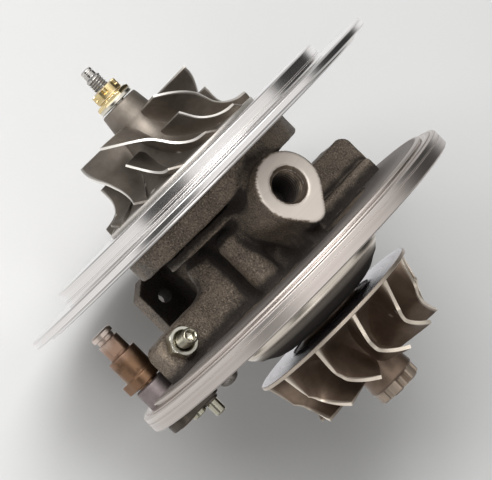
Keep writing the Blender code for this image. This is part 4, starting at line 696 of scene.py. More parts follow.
casting = {  # in millimetres; a turned shape is (from, to, radius),
    # a box is (low corner, high corner, rounding)
    "low": (-35.2, -43.2, -34.4), "high": (-3.2, 40.4, 33.4), "step": 0.49, "sharp": 38,
    "neck": (13.4, -17, 13.5), "seat": (-33.9, -28.1, 26.7), "lip": (-27.5, -24.8, 19.9),
    "root": (-5.8, -3.9, 33.0), "oilTube": ((-10.2, 10.3), 3.9, -23.8, -7.6),
    "inlet": (-21.1, -13.0, 8.7, 3.5), "draft": 0.02, "inletFrom": 4.0, "inletTop": 32.0, "inletBore": 4.7,
    "inletFloor": 19.0, "inletRim": 5.6, "web": ((-15, -2.6, 8), (-3.9, 2.6, 25.6), 1.2),
    "webSlope": (0.08, 10), "foot": ((-27.6, -10.6, -30), (-11.2, 10.6, -4), 4.0),
    "drain": (-28.8, -10.0, 20.2), "drainCorner": (0.59, 0.807, 2.42), "drainSides": (-33.0, -27.0),
    "drainX": -21.4, "frontLug": ((-16.3, -41), (-2.0, -8), 3.0), "frontSides": (-6.0, 2.0),
    "shoulder": ((-14.9, 0.4), 4.9, -25.2, -6.9), "backLug": ((-18.7, 8), (-2.0, 38), 3.0),
    "backSides": (-8.5, 3.5), "rib": ((-10.5, 8, -12), (-3.4, 36.5, 7.0), 1.4),
    "bore": ((-28.9, 15.5), (-26.2, 8.9), 6.9), "drainBore": (6.0, -12.8), "bolts": (15.0, 1.8, -25),
    "gallery": ((-30.2, -4.5, -16.9), (-2.0, 4.5, -11.4), 0.8),
    "riser": ((-30.0, -4.3, -14), (-25.5, 4.3, -3), 0.6), "stopHole": (-12.2, -35.5, 2.3, 9),
    "crankHole": (-41, -14, 5.4),
    "machinedPast": (31.88, -33.8, -32.9),  # the inlet's top, the seat's face and the drain's face
    # where painted shade darkens the drain's top: below, beside, above, and its share
    "drainShadeBelow": (-19, 5), "drainShadeBeside": (-4, 3), "drainShadeAbove": -27.4, "drainShadeShare": 0.45,
}


def alongBar(x, y, z, centre, radius, start, end):
    # distance to a round bar parallel to the rotor's axis, with ball ends
    reach = np.clip(x, start + radius, end)
    return np.sqrt((x - reach) ** 2 + (y - centre[0]) ** 2 + (z - centre[1]) ** 2) - radius


def turnedDisc(x, r, place, rounding):
    # distance to a disc round the rotor's axis, given as (from, to, radius)
    return extruded(r - place[2], place[0], place[1], x, rounding)


def castField(x, y, z):
    # distance to the casting: rounded lumps that run into each other with fillets, then sharp machined cuts
    c = casting
    r = np.hypot(y, z)
    wobble = (0.10 * np.sin(0.61 * x + 0.43 * y + 1.1) * np.sin(0.53 * z - 0.37 * y)
              + 0.05 * np.sin(1.37 * y + 1.1 * z + 0.7) * np.sin(1.21 * x + 0.9 * z))
    radius, middle, half = c["neck"]
    d = np.maximum(r - radius, np.abs(x - middle) - half)
    outline = pear(x, y, *c["inlet"]) - c["draft"] * (c["inletTop"] - z)
    boss = extruded(outline, c["inletFrom"], c["inletTop"], z, 0.7)
    slope, middle = c["webSlope"]
    web = roundBox(x, y, z, *c["web"]) + slope * (x + middle)
    start, end, half = c["drain"]
    plate = np.maximum(np.abs(y) - half, np.abs(x - (start + end) / 2) - (end - start) / 2)
    across, along, offset = c["drainCorner"]
    plate = np.maximum(plate, (np.abs(y) - half) * across + (start - x) * along + offset)
    front = extruded(flatBox(x, y, *c["frontLug"]), *c["frontSides"], z, 1.0)
    front = smoothMin(front, alongBar(x, y, z, *c["shoulder"]), 4.5)
    back = extruded(flatBox(x, y, *c["backLug"]), *c["backSides"], z, 1.0)
    for lump, fillet in ((turnedDisc(x, r, c["seat"], 0.9), 2.0), (turnedDisc(x, r, c["lip"], 0.5), 0.8),
                         (turnedDisc(x, r, c["root"], 0.3), 3.6), (alongBar(x, y, z, *c["oilTube"]), 1.2),
                         (boss, 2.2), (web, 1.6), (roundBox(x, y, z, *c["foot"]), 2.4),
                         (extruded(plate, *c["drainSides"], z, 0.6), 1.8), (front, 1.1), (back, 1.4),
                         (roundBox(x, y, z, *c["rib"]), 0.9)):
        d = smoothMin(d, lump, fillet)
    d = d + wobble * np.clip((c["inletTop"] - 0.6 - z) / 1.5, 0, 1) * np.clip((z + 32.2) / 1.2, 0, 1)
    (wideTo, wide), (middleTo, middle), narrow = c["bore"]
    bore = np.maximum(r - np.where(x < wideTo, wide, np.where(x < middleTo, middle, narrow)), -1)
    countersink = np.clip(z - c["inletTop"] + 0.4, 0, 9)
    inlet = np.hypot(x - c["inlet"][0], y) - c["inletBore"] - countersink
    drain = np.hypot(x - c["drainX"], y) - c["drainBore"][0]
    bolts = np.hypot(x - c["drainX"], np.abs(y) - c["bolts"][0]) - c["bolts"][1]
    stopX, stopY, stopRadius, stopTop = c["stopHole"]
    crankY, crankZ, crankRadius = c["crankHole"]
    for hole in (bore, np.maximum(inlet, c["inletFloor"] - z), np.maximum(drain, z - c["drainBore"][1]),
                 roundBox(x, y, z, *c["gallery"]), roundBox(x, y, z, *c["riser"]),
                 np.maximum(bolts, z - c["bolts"][2]),
                 np.maximum(np.hypot(x - stopX, y - stopY) - stopRadius, z - stopTop),
                 np.hypot(y - crankY, z - crankZ) - crankRadius):
        d = np.maximum(d, -hole)
    return np.maximum(np.maximum(d, c["seat"][0] - x), z - c["inletTop"])


flange = {"land": (-6.1, 46.8), "rim": (-4.6, 50.6), "face": -0.5, "seat": 21.0, "nose": (5.8, 12.8),
          "bore": 7.6, "landFrom": 28.0, "innerRadius": 6.9, "paintedShadeBehind": (0.9, 0.25, 34, 8)}


def shutField(x, y, z):
    # distance to the casting or the turbine flange, whichever is nearer
    land, landRadius = flange["land"]
    disc = turnedDisc(x, np.hypot(y, z), (land, flange["face"], landRadius), 0.1)
    return np.minimum(castField(x, y, z), disc)


def makeCasting():
    # the level 0 of castField, with masks for what is machined and for painted shade where it is shut in and
    # on the drain's top
    points, quads = surfaceOf(castField, casting["low"], casting["high"], casting["step"])
    piece = meshPiece("castHousing", points, quads, angle=casting["sharp"])
    x, y, z = points.T
    stopX, stopY, stopRadius, stopTop = casting["stopHole"]
    top, seatFace, drainFace = casting["machinedPast"]
    machined = (z > top) | (x < seatFace) | (z < drainFace)
    fromInlet = np.hypot(x - casting["inlet"][0], y)
    machined |= (fromInlet < casting["inletRim"]) & (z > casting["inletFloor"] - 0.5)
    machined |= (np.hypot(x - stopX, y - stopY) < stopRadius + 0.1) & (np.abs(z) < stopTop)
    maskOf(piece, "machined", machined)
    # painted shade on the drain's top, added to the painted shade where the surface is shut in
    (below, belowOver), (beside, besideOver) = casting["drainShadeBelow"], casting["drainShadeBeside"]
    drainShade = np.clip((below - z) / belowOver, 0, 1) * np.clip((beside - y) / besideOver, 0, 1)
    drainShade = drainShade * (z > casting["drainShadeAbove"]) * casting["drainShadeShare"]
    maskOf(piece, "hollow", np.clip(hollowness(shutField, points) + drainShade, 0, 1))
    fitted(piece, "housing", "center_housing", "casting")
    print("casting:", len(quads), "faces")


makeCasting()

inletThread = {"place": (-21.1, 0.0), "low": 18.8, "high": 31.75, "bore": 4.0, "outer": 4.85, "pitch": 1.0,
               "depth": 0.62, "paintedShade": 0.8, "darkFrom": 2, "darkOver": 5}


def makeInletThread():
    # sleeve in the inlet: a rounded V climbs one pitch a turn and is cut outwards into the bore
    t = inletThread
    low, high, bore, outer = t["low"], t["high"], t["bore"], t["outer"]
    wall = [(x, bore) for x in np.arange(high - 0.75, low + 0.3, -t["pitch"] / 9)]
    profile = [(low, outer), (high - 0.1, outer + 0.12), (high + 0.12, outer + 0.1), (high + 0.15, outer),
               (high - 0.62, bore + 0.12), *wall, (low, bore)]
    thread = screwThread(t["pitch"], -t["depth"], low + 1, high - 0.3)
    shape = lambda x, radius, turn: np.where(radius < bore + 0.4, thread(x, radius, turn), radius)
    piece = lathe("inletThread", profile, 96, shape=shape, axis=t["place"], along="z", angle=50)
    x, y, z = pointsOf(piece).T
    r = np.hypot(x - t["place"][0], y - t["place"][1])
    # painted shade in the thread's valleys, darker deeper down the bore
    valley = np.clip((r - bore) / t["depth"], 0, 1) * (r < bore + 0.7) * t["paintedShade"]
    maskOf(piece, "hollow", valley + np.clip((high - z - t["darkFrom"]) / t["darkOver"], 0, 1))
    fitted(piece, "housing", "center_housing", "threadSteel")


def makeFlange():
    # turned profile of the turbine flange, closed round its bore; its back has painted shade where the
    # casting is near
    land, landRadius = flange["land"]
    rim, rimRadius = flange["rim"]
    nose, noseRadius = flange["nose"]
    start, face, seat = flange["landFrom"], flange["face"], flange["seat"]
    bore, inner = flange["bore"], flange["innerRadius"]
    profile = rounded([
        (land + 0.5, start), *[(land, r) for r in np.arange(start + 0.5, landRadius - 1.4, 0.8)],
        (land, landRadius - 0.5, 0.35), (land + 0.35, landRadius - 0.05, 0.1), (-5.35, landRadius),
        (-5.3, landRadius - 0.35), (-4.95, landRadius - 0.35), (-4.9, rimRadius - 1.3),
        (rim, rimRadius - 1.2), (rim, rimRadius - 0.35, 0.2), (rim + 0.35, rimRadius, 0.2), (-3.1, rimRadius),
        (-3.05, rimRadius - 0.12), (-2.85, rimRadius - 0.12), (-2.8, rimRadius), (-0.35, rimRadius, 0.2),
        (-0.02, rimRadius - 0.4, 0.2), (-0.02, 48.25), (-0.12, 48.15), (face, 48.1), (face, seat),
        (1.5, seat - 0.1), (1.5, 14.4), (3.0, noseRadius), (nose, 12.4), (nose, bore),
        (-1.5, bore), (-1.5, 9.6), (-4.4, 9.6), (-4.4, inner), (land + 0.5, inner)], 3)
    piece = lathe("turbineFlange", profile, 320, angle=30)
    points = pointsOf(piece)
    r = np.hypot(points[:, 1], points[:, 2])
    behind = (points[:, 0] < land + 0.2) & (r > start + 0.2) & (r < landRadius - 0.8)
    most, less, lessFrom, lessOver = flange["paintedShadeBehind"]
    least = most - less * np.clip((r[behind] - lessFrom) / lessOver, 0, 1)
    paintedShade = np.zeros(len(points))
    backwards = np.array((-1.0, 0, 0))
    paintedShade[behind] = np.maximum(shutAlong(castField, points[behind] + 0.05 * backwards, backwards), least)
    maskOf(piece, "hollow", paintedShade)
    fitted(piece, "housing", "center_housing", "flangeSteel")


backplate = {"ring": (-41.0, 43.8), "disc": (-37.0, -34.9, 56.8), "step": (-34.2, 52.7), "bore": 7.6}


def makeBackplate():
    # turned profile: a raised ring with fine grooves, then the wide disc and its step
    ringX, ring = backplate["ring"]
    front, back, disc = backplate["disc"]
    stepX, step = backplate["step"]
    bore = backplate["bore"]
    profile = rounded([
        (-39.2, 25.4), (ringX + 0.05, 25.6, 0.3), (ringX, 29.5), (ringX, ring - 1.1),
        (ringX + 0.12, ring - 1.0), (ringX + 0.12, ring - 0.8), (ringX, ring - 0.7),
        (ringX, ring - 0.35, 0.25), (ringX + 0.35, ring, 0.2), (-38.4, ring), (-38.32, ring - 0.12),
        (-38.1, ring - 0.12), (-38.02, ring), (-37.35, ring, 0.2), (front, ring + 0.4, 0.25),
        (front, disc - 0.45, 0.3), (front + 0.4, disc, 0.3), (back - 0.35, disc, 0.25),
        (back, disc - 0.4, 0.25), (back, step + 0.1), (stepX - 0.25, step, 0.15), (stepX, step - 0.3),
        (stepX, 30.4), (-35.4, 30.2), (-35.4, 27.3), (stepX, 27.1), (stepX, 15.6), (-36.6, 15.5),
        (-36.6, bore), (-40.3, bore), (-40.3, 20.0)], 3)
    piece = lathe("backplateDisc", profile, 360, angle=30)
    fitted(piece, "housing", "compressor_backplate", "backplate")


makeInletThread()
makeFlange()
makeBackplate()

compressor = {"blades": 6, "nose": (-63.7, 5.3), "full": -58.7, "hub": 6.0, "eye": 18.2,
              "outlet": (-42.0, 24.5), "back": -40.7, "bladeTip": 24.3, "bend": (0.55, -49.0, 5.2),
              "splitters": (0.27, 0.40), "turn": 118.0, "root": 1.3, "edge": 0.55, "fillet": 0.9,
              "frontBright": 0.0, "fade": 0.55, "shares": (0, 0.2, 0.4, 0.6, 0.8, 1.0),
              "hubWrap": (32, 14, 0, -11, -22, -31.7), "tipWrap": (36.8, 16, 0.5, -7, -16, -23.8)}


def bladeRow(wheel, hubLine, tipLine, first=0.0):
    # one set of a wheel's blades, as (points, quads, triangles) and the mask of their bright edges
    sizes = [wheel[key] for key in ("root", "edge", "fillet", "frontBright", "fade")]
    points, quads, bright = bladeArrays(hubLine, tipLine, wheel["blades"], radians(wheel["turn"]) + first,
                                        *sizes)
    return (points, quads, ()), bright


def compressorHub(share):
    # quarter ellipse from the hub at the inlet to the disc's rim at the outlet
    start, hub, (end, rim) = compressor["full"], compressor["hub"], compressor["outlet"]
    a = share * pi / 2
    return start + (end - start) * np.sin(a), hub + (rim - hub) * (1 - np.cos(a))


def makeCompressorWheel():
    # turned hub, then six full blades and six splitters that start farther along it
    c = compressor
    nose, noseRadius = c["nose"]
    full, back, eye, rim, tip = c["full"], c["back"], c["eye"], c["outlet"][1], c["bladeTip"]
    hubX, hubR = compressorHub(np.linspace(0, 1, 26))
    profile = [
        (nose, 0.0), (nose, 2.9),
        *rounded([(nose, 3.0), (nose, noseRadius, 0.5), (-62.9, 5.45, 0.3), (full, c["hub"])], 3),
        *zip(hubX[1:], hubR[1:]),
        *rounded([(-41.8, rim), (-41.6, rim), (back, rim - 0.2, 0.2), (back, 20)], 3),
        (back, 9.0), (back, 0.0)]
    hub = arraysOf(lathe("hub", profile, 168))
    parts, masks = [hub], [np.clip((np.hypot(hub[0][:, 1], hub[0][:, 2]) - 20.5) / 3, 0, 0.8)]
    bendFrom, bendX, bendLength = c["bend"]
    for first, hubStart, tipStart in ((0.0, 0.0, 0.0), (pi / c["blades"], *c["splitters"])):
        at = np.linspace(hubStart, 1, 9)
        x, r = compressorHub(at)
        wrap = np.interp(at, c["shares"], np.radians(c["hubWrap"]))
        hubLine = np.stack([x + 0.15, np.minimum(r - 0.45, tip), wrap], axis=1)
        at = np.linspace(tipStart, 1, 9)
        bend = np.clip((at - bendFrom) / (1 - bendFrom), 0, 1) * pi / 2
        x = np.where(at < bendFrom, full + (bendX - full) * at / bendFrom, bendX + bendLength * np.sin(bend))
        r = np.where(at < bendFrom, eye, eye + (tip - eye) * (1 - np.cos(bend)))
        tipLine = np.stack([x, r, np.interp(at, c["shares"], np.radians(c["tipWrap"]))], axis=1)
        part, mask = bladeRow(c, hubLine, tipLine, first)
        parts.append(part)
        masks.append(mask)
    piece = joined("compressorWheelCast", parts, angle=40)
    maskOf(piece, "edge", np.concatenate(masks))
    fitted(piece, "rotor", "compressor_wheel", "wheel_aluminium")


turbine = {"blades": 12, "inlet": (12.0, 24.6), "outlet": (27.7, 6.4), "tip": (19.4, 21.8, 20.0),
           "turn": 118.0, "root": 1.9, "edge": 0.9, "fillet": 1.1, "frontBright": 0.9, "fade": 0.0,
           "hubWrap": (-9.8, -9.8, -9.5, -9.5, -14, -24),
           "tipWrap": (-5.8, -6.2, -7.2, -11.5, -17.5, -25.3), "drop": (0.0, 0.56, 0.89, 1.1, 1.15, 1.0),
           "nose": (32.35, 35.05, 6.2), "notch": 4.6, "noseTurn": 0.35,
           "seal": [(7.9, 0.0), (7.9, 8.8), (8.2, 9.1)], "rimSides": (11.0, 11.9),
           "neck": [(8.3, 9.1), (10.4, 9.2, 0.8), (11.0, 14.0)],
           "end": [(30.0, 6.3), (31.9, 6.5, 0.3), (32.4, 6.2, 0.2), (32.6, 5.4)],
           "back": [(10.5, 12.9), (10.9, 14.0), (10.96, 16.0)], "backSides": (10.96, 11.2, 12.9)}


def turbineHub(share):
    # quarter ellipse from the rim of the disc at the inlet to the hub at the outlet
    (start, rim), (end, hub) = turbine["inlet"], turbine["outlet"]
    a = share * pi / 2
    return start + (end - start) * (1 - np.cos(a)), rim - (rim - hub) * np.sin(a)


def turbineNose(x, radius, turn):
    # six lands round the nose with wide notches between them
    sector = (turn + turbine["noseTurn"]) % (pi / 3) - pi / 6
    land, notch = np.clip((0.30 - np.abs(sector)) / 0.07, 0, 1), turbine["notch"] / np.cos(sector)
    return np.where(radius > 3.2, notch + (radius - notch) * land, radius)


def makeTurbineWheel():
    # turned disc and hub, the ground back of the disc with its bluish white a painted reflection of the pale
    # room, the notched nose and twelve blades
    c = turbine
    hubX, hubR = turbineHub(np.linspace(0, 1, 26))
    (front, rim), (behind, side) = c["inlet"], c["rimSides"]
    edge = [(behind, 16.0), (behind, rim, 0.15), (side, rim, 0.15), (front, rim - 0.3)]
    profile = [*c["seal"], *rounded(c["neck"], 3), *rounded(edge, 3), *zip(hubX[2:], hubR[2:]),
               *rounded(c["end"], 3), (33.0, 0.0)]
    hub = arraysOf(lathe("hub", profile, 168))
    low, high, inner = c["backSides"]
    profile = rounded(c["back"] + [(low, rim - 0.15, 0.1), (high, rim - 0.1), (high, inner)], 3)
    back = lathe("turbineDiscBack", profile, 240, angle=30)
    fitted(back, "rotor", "turbine_wheel", "backSteel")
    low, high, radius = c["nose"]
    profile = rounded([(low - 0.05, 0), (low, radius), (high, radius), (high + 0.35, radius - 0.4),
                       (high + 0.35, 3.0), (high - 0.15, 2.6), (high - 0.15, 0)], 3)
    nose = arraysOf(lathe("nose", profile, 168, shape=turbineNose))
    at = np.linspace(0, 1, 6)
    x, r = turbineHub(at)
    hubLine = np.stack([x - 0.3, r - 0.5, np.radians(c["hubWrap"])], axis=1)
    start, startRadius, endRadius = c["tip"]
    x = start + (c["outlet"][0] - start) * at
    r = startRadius - (startRadius - endRadius) * np.array(c["drop"])
    blades, mask = bladeRow(c, hubLine, np.stack([x, r, np.radians(c["tipWrap"])], axis=1))
    piece = joined("turbineWheelCast", [hub, nose, blades], angle=40)
    cut = (hub[0][:, 0] < 12.05) & (np.hypot(hub[0][:, 1], hub[0][:, 2]) > 24.0)
    maskOf(piece, "edge", np.concatenate([cut * 0.6, np.full(len(nose[0]), 0.22), mask]))
    fitted(piece, "rotor", "turbine_wheel", "heat_alloy")


heatShield = {
    "outer": [(-0.2, 22.2), (3.9, 22.2, 1.2), (5.8, 20.4, 1.0), (6.3, 19.9, 0.3), (7.05, 18.4, 2.0),
              (8.3, 16.4, 2.0), (9.0, 14.2, 1.0), (9.2, 12.4, 1.5), (9.2, 10.1, 0.3), (9.0, 9.6)],
    "inner": [(8.3, 9.6), (8.3, 12.2, 1.2), (8.1, 13.9, 1.0), (7.4, 15.9, 1.8), (6.2, 17.9, 1.8),
              (5.2, 19.5, 1.0), (3.4, 21.3, 1.2), (-0.2, 21.3)],
    "darkFrom": 4.6, "darkOver": 1.7}


def makeHeatShield():
    # pressed cup: cylinder, rounded shoulder with a crease, flat front with a hole
    profile = rounded(heatShield["outer"] + heatShield["inner"], 4)
    piece = lathe("heatShieldPressing", profile, 240, angle=40)
    # painted shade, with some soot, darkens the cup towards its front
    dark = (pointsOf(piece)[:, 0] - heatShield["darkFrom"]) / heatShield["darkOver"]
    maskOf(piece, "hollow", np.clip(dark, 0, 1))
    fitted(piece, "housing", "heat_shield", "shield_steel")


makeCompressorWheel()
makeTurbineWheel()
makeHeatShield()
print("wheels, plates and shield made")

shaft = {"tip": -75.4, "thread": (-72.6, -69.0), "radius": 2.08, "pitch": 0.7, "depth": 0.38,
         "end": [(-75.4, 0.0), (-75.4, 1.15), (-75.1, 1.58, 0.1), (-74.5, 1.58), (-74.4, 1.42), (-74.2, 1.42),
                 (-74.1, 1.6), (-73.1, 1.6, 0.1)],
         "rest": [(-63.4, 2.08), (-63.4, 2.6), (-26.5, 2.6), (-26.5, 4.0), (-1.8, 4.0), (-1.8, 7.2),
                  (1.5, 7.2), (1.5, 5.8), (2.9, 5.8), (2.9, 7.2), (7.7, 7.2), (7.7, 0.0)]}


def makeShaft():
    # turned profile of the rotor's shaft, with a rounded thread at its cold end
    (start, end), radius, pitch, depth = [shaft[key] for key in ("thread", "radius", "pitch", "depth")]
    tip = rounded(shaft["end"] + [(start, radius)], 3)
    thread = [(x, radius) for x in np.arange(start, end + 0.6, pitch / 9)]
    shape = screwThread(pitch, depth, start + 0.1, end + 0.9)
    piece = lathe("shaftAndThread", np.concatenate([tip, thread, shaft["rest"]]), 96, shape=shape, angle=42)
    x, y, z = pointsOf(piece).T
    # painted shade in the thread's valleys
    valley = np.clip((radius - np.hypot(y, z)) / depth, 0, 1)
    maskOf(piece, "hollow", valley * (x > start) * (x < end + 1))
    fitted(piece, "rotor", "rotor_shaft", "steel")


lockNut = {"front": -69.3, "crown": 3.8, "slots": (-67.5, 0.17, 0.85), "lobes": 0.18, "hex": -66.2,
           "back": -65.0, "flats": 8.6, "corner": 5.4, "washer": (-65.0, -64.05, 4.95), "bore": 2.35}


def makeLockNut():
    # six lobes on the crown with slots between them, then a hexagon with a cone cut at its front
    n = lockNut
    front, hexStart, back, bore = n["front"], n["hex"], n["back"], n["bore"]
    slotEnd, slotHalf, slotDepth = n["slots"]
    hexShape = hexagon(n["flats"], hexStart, 0.0)

    def shape(x, radius, turn):
        # the crown's radius less a slot in each sixth and less waves, the hexagon's farther out
        slot = np.clip((slotHalf - np.abs(sixth(turn))) / 0.05, 0, 1) * np.clip((slotEnd - x) / 0.25, 0, 1)
        waves = n["lobes"] * (1 - np.cos(6 * (turn - pi / 6))) * np.clip((hexStart - x) / 0.3, 0, 1) / 2
        lobe = radius - slotDepth * slot - waves
        return np.where(radius > 4.4, hexShape(x, radius, turn), np.where(radius > 2.9, lobe, radius))
    crown = [(x, n["crown"]) for x in np.arange(front + 0.3, hexStart - 0.35, 0.15)]
    sides = [(hexStart + edge, n["corner"]) for edge in (0, 0.1, 0.2, 0.35, 0.5, 0.8)]
    profile = [(front, bore), (front, 3.2), (front + 0.1, 3.6), *crown, (hexStart - 0.2, 3.45),
               (hexStart, 3.5), *sides, (back, n["corner"]), (back, bore)]
    nut = lathe("castleNut", profile, 240, shape=shape, angle=32)
    fitted(nut, "rotor", "lock_nut", "gold_plate")
    low, high, radius = n["washer"]
    profile = rounded([(low, 2.4), (low, radius - 0.1, 0.1), (low + 0.1, radius, 0.1),
                       (high - 0.1, radius, 0.1), (high, radius - 0.1, 0.1), (high, 2.4)], 3)
    fitted(lathe("nutWasher", profile, 120, angle=32), "rotor", "lock_nut", "plated_steel")


stop = {"place": (-12.2, -35.5), "low": -8.2, "top": 10.0, "radius": 2.0, "pitch": 0.7, "depth": 0.30,
        "socket": 2.3, "socketDepth": 2.0, "nut": (2.3, 5.3), "nutBore": 2.15, "flats": 7.0, "corner": 4.3}


def makeStopScrew():
    # threaded screw with a hexagon socket in its top, and the nut that locks it
    t = stop
    low, top, r, pitch, floor = t["low"], t["top"], t["radius"], t["pitch"], t["top"] - t["socketDepth"]
    thread = [(x, r) for x in np.arange(low + 0.6, top - 0.45, pitch / 9)]
    profile = [(low, 0.0), (low, 1.3), (low + 0.5, r - 0.1), *thread,
               (top - 0.4, r - 0.02), (top - 0.1, r - 0.2), (top, r - 0.35), (top, 1.45), (top - 0.2, 1.2),
               (floor, 1.2), (floor - 0.4, 0.0)]
    threaded = screwThread(pitch, t["depth"], low + 0.7, top - 0.5)

    def shape(x, radius, turn):
        # a hexagon inside the socket, the thread's radius everywhere else
        socket = (radius < 1.25) & (x > floor - 0.1)
        return np.where(socket, t["socket"] / 2 / np.cos(sixth(turn)), threaded(x, radius, turn))
    screw = lathe("stopScrewThreaded", profile, 96, shape=shape, axis=t["place"], along="z", angle=40)
    fitted(screw, "housing", "stop_screw", "nickel")
    (low, high), bore = t["nut"], t["nutBore"]
    edges, corner = (0, 0.1, 0.2, 0.35), t["corner"]
    sides = [(low + edge, corner) for edge in edges] + [(high - edge, corner) for edge in edges[::-1]]
    profile = [(low, bore), *sides, (high, bore + 0.6), (high - 0.45, bore)]
    hexShape = hexagon(t["flats"], low, high)
    nut = lathe("stopNutHex", profile, 192, shape=hexShape, axis=t["place"], along="z", angle=32)
    fitted(nut, "housing", "stop_screw_nut", "nickel")


crank = {"axis": (-41.0, -14.0), "radius": 3.0, "tip": -27.4, "groove": (-25.8, -24.7, 2.4), "end": 3.6,
         "flats": (-24.4, -20.6, 2.5), "flatTurn": 118.0, "sleeve": (-20.0, -13.6, 4.2),
         "plate": (-13.6, -10.7, 4.5), "tab": (3.6, 2.6, -130.0), "arm": (0.7, 3.3, 4.6),
         "armTip": (7.4, 3.2, 18.85), "stud": (3.33, 2.0, 4.6, 2.4), "boss": (2.3, 4.1),
         "pin": (1.1, 7.8, 1.6), "bush": (-10.2, 0.4, 4.4), "clearance": 0.12, "step": 0.17,
         "leverBox": ((-20.6, -46.6, -20.2), (-10.2, -36.0, -8.9)),
         "armBox": ((0.2, -46.3, -19.3), (4.7, -30.2, -7.8))}


def alongArm(y, z, degrees):
    # a flat frame whose first direction leaves the crank's axis at the given angle
    a, dy, dz = radians(degrees), y - crank["axis"][0], z - crank["axis"][1]
    return dy * cos(a) + dz * sin(a), dz * cos(a) - dy * sin(a)


def leverField(x, y, z):
    # distance to the sleeve and the plate with its tab, less the bore
    reach, tip, degrees = crank["tab"]
    p, q = alongArm(y, z, degrees)
    r = np.hypot(p, q)
    low, high, radius = crank["sleeve"]
    sleeve = extruded(r - radius, low, high + 1, x, 0.35)
    low, high, radius = crank["plate"]
    plate = extruded(pear(p, q, 0.0, reach, radius, tip), low, high, x, 0.35)
    return np.maximum(smoothMin(sleeve, plate, 0.25), crank["radius"] + crank["clearance"] - r)


def armField(x, y, z):
    # distance to the arm with the boss of its pin, less both bores
    reach, tip, degrees = crank["armTip"]
    p, q = alongArm(y, z, degrees)
    low, high, hub = crank["arm"]
    arm = extruded(pear(p, q, 0.0, reach, hub, tip), low, high, x, 0.45)
    boss = extruded(np.hypot(p - reach, q) - crank["boss"][0], low + 0.5, crank["boss"][1], x, 0.3)
    d = np.maximum(smoothMin(arm, boss, 0.3), crank["radius"] + crank["clearance"] - np.hypot(p, q))
    return np.maximum(d, crank["pin"][2] + crank["clearance"] - np.hypot(p - reach, q))


def makeCrank():
    # spindle, pin, stud and bush are turned; lever and arm are the level 0 of their fields
    c = crank
    start, stopAt, shallow = c["groove"]
    flatLow, flatHigh, half = c["flats"]
    tip, end, r, axis = c["tip"], c["end"], c["radius"], c["axis"]

    def shape(x, radius, turn):
        # two flats: the radius is cut where the distance from the axis plane would pass the flat
        inside = (x > flatLow - 0.01) & (x < flatHigh + 0.01)
        side = np.abs(np.cos(turn - radians(c["flatTurn"])))
        return np.where(inside, np.minimum(radius, half / np.maximum(side, 0.05)), radius)
    profile = rounded([(tip, 0.0), (tip, r - 0.45, 0.12), (tip + 0.35, r, 0.12), (start - 0.1, r, 0.08),
                       (start, shallow, 0.1), (stopAt, shallow, 0.1), (stopAt + 0.1, r, 0.08),
                       (flatLow - 0.05, r), (flatLow, r), (flatHigh, r), (flatHigh + 0.05, r),
                       (end - 0.3, r, 0.1), (end, r - 0.3, 0.1), (end, 0.0)], 3)
    spindle = lathe("crankSpindle", profile, 192, shape=shape, axis=axis, angle=32)
    fitted(spindle, "crank", "crank_shaft", "crankSteel")
    lever = meshPiece("leverForging", *surfaceOf(leverField, *c["leverBox"], c["step"]), angle=38)
    fitted(lever, "crank", "crank_lever", "crankSteel")
    arm = meshPiece("armForging", *surfaceOf(armField, *c["armBox"], c["step"]), angle=38)
    fitted(arm, "crank", "crank_arm", "armSteel")
    degrees = radians(c["armTip"][2])
    onArm = lambda reach: (axis[0] + reach * cos(degrees), axis[1] + reach * sin(degrees))
    low, high, radius = c["pin"]
    profile = rounded([(low, 0.0), (low, radius - 0.2), (low + 0.2, radius), (high - 0.35, radius, 0.15),
                       (high, radius - 0.35, 0.1), (high, 0.9), (high - 0.15, 0.75), (high - 0.2, 0.0)], 3)
    pin = lathe("pinTurned", profile, 96, axis=onArm(c["armTip"][0]), angle=32)
    fitted(pin, "crank", "crank_pin", "nickel")
    away, radius, top, low = c["stud"]
    profile = rounded([(low, 0.0), (low, radius), (top - 0.25, radius, 0.12), (top, radius - 0.25, 0.1),
                       (top, 0.8), (top - 0.5, 0.7), (top - 0.6, 0.0)], 3)
    stud = lathe("armStud", profile, 96, axis=onArm(away), angle=32)
    fitted(stud, "crank", "crank_arm", "nickel")
    low, high, radius = c["bush"]
    profile = rounded([(low, r + 0.15), (low, radius - 0.4, 0.15), (low + 0.4, radius, 0.15),
                       (high - 0.2, radius, 0.1), (high, radius - 0.2, 0.1), (high, r + 0.15)], 3)
    bush = lathe("crankBushing", profile, 144, axis=axis, angle=32)
    fitted(bush, "housing", "crank_bush", "bushSteel")


dowel = {"axis": (-27.4, -8.9), "radius": 2.7, "low": -3.5, "side": 2.9, "top": 4.7}


def makeDowel():
    # round pin with a domed end: the dome is a quarter ellipse
    low, side, top, radius = [dowel[key] for key in ("low", "side", "top", "radius")]
    turn = np.linspace(0, pi / 2, 10)
    dome = np.stack([side + (top - side) * np.sin(turn), radius * np.cos(turn)], axis=1)
    dome[-1, 1] = 0.0
    profile = np.concatenate([[(low, 0.0), (low, radius - 0.4), (low + 0.4, radius)], dome])
    piece = lathe("domedDowel", profile, 96, axis=dowel["axis"], angle=40)
    fitted(piece, "housing", "face_dowel", "dark_steel")


makeShaft()
makeLockNut()
makeStopScrew()
makeCrank()
makeDowel()
print("small pieces made")

studio = {"floor": rgb(219, 219, 218), "floorRadius": 900.0, "floorLevel": -66.0,
          "background": rgb(232, 232, 232), "ambient": 0.19, "pale": 0.95, "dark": 0.04, "dimming": 0.62,
          "dimFrom": 0.25, "dimTo": 0.85,
          "darkZones": (((0.0, -0.766, 0.643), 0.905, 0.975), ((0.0, 0.993, 0.122), 0.80, 0.94))}
lamps = {  # place and side in millimetres, and power
    "keyLamp": ((-550, -16, 985), 540, 8.8), "frontLamp": ((-640, -540, 950), 560, 6.4),
    "fillLamp": ((260, -330, 480), 360, 0.5), "sideLamp": ((-420, -420, 170), 320, 0.6)}
lampAim = Vector((-0.017, 0, 0))


def grey(level):
    # a colour without hue, already linear
    return (level, level, level, 1)


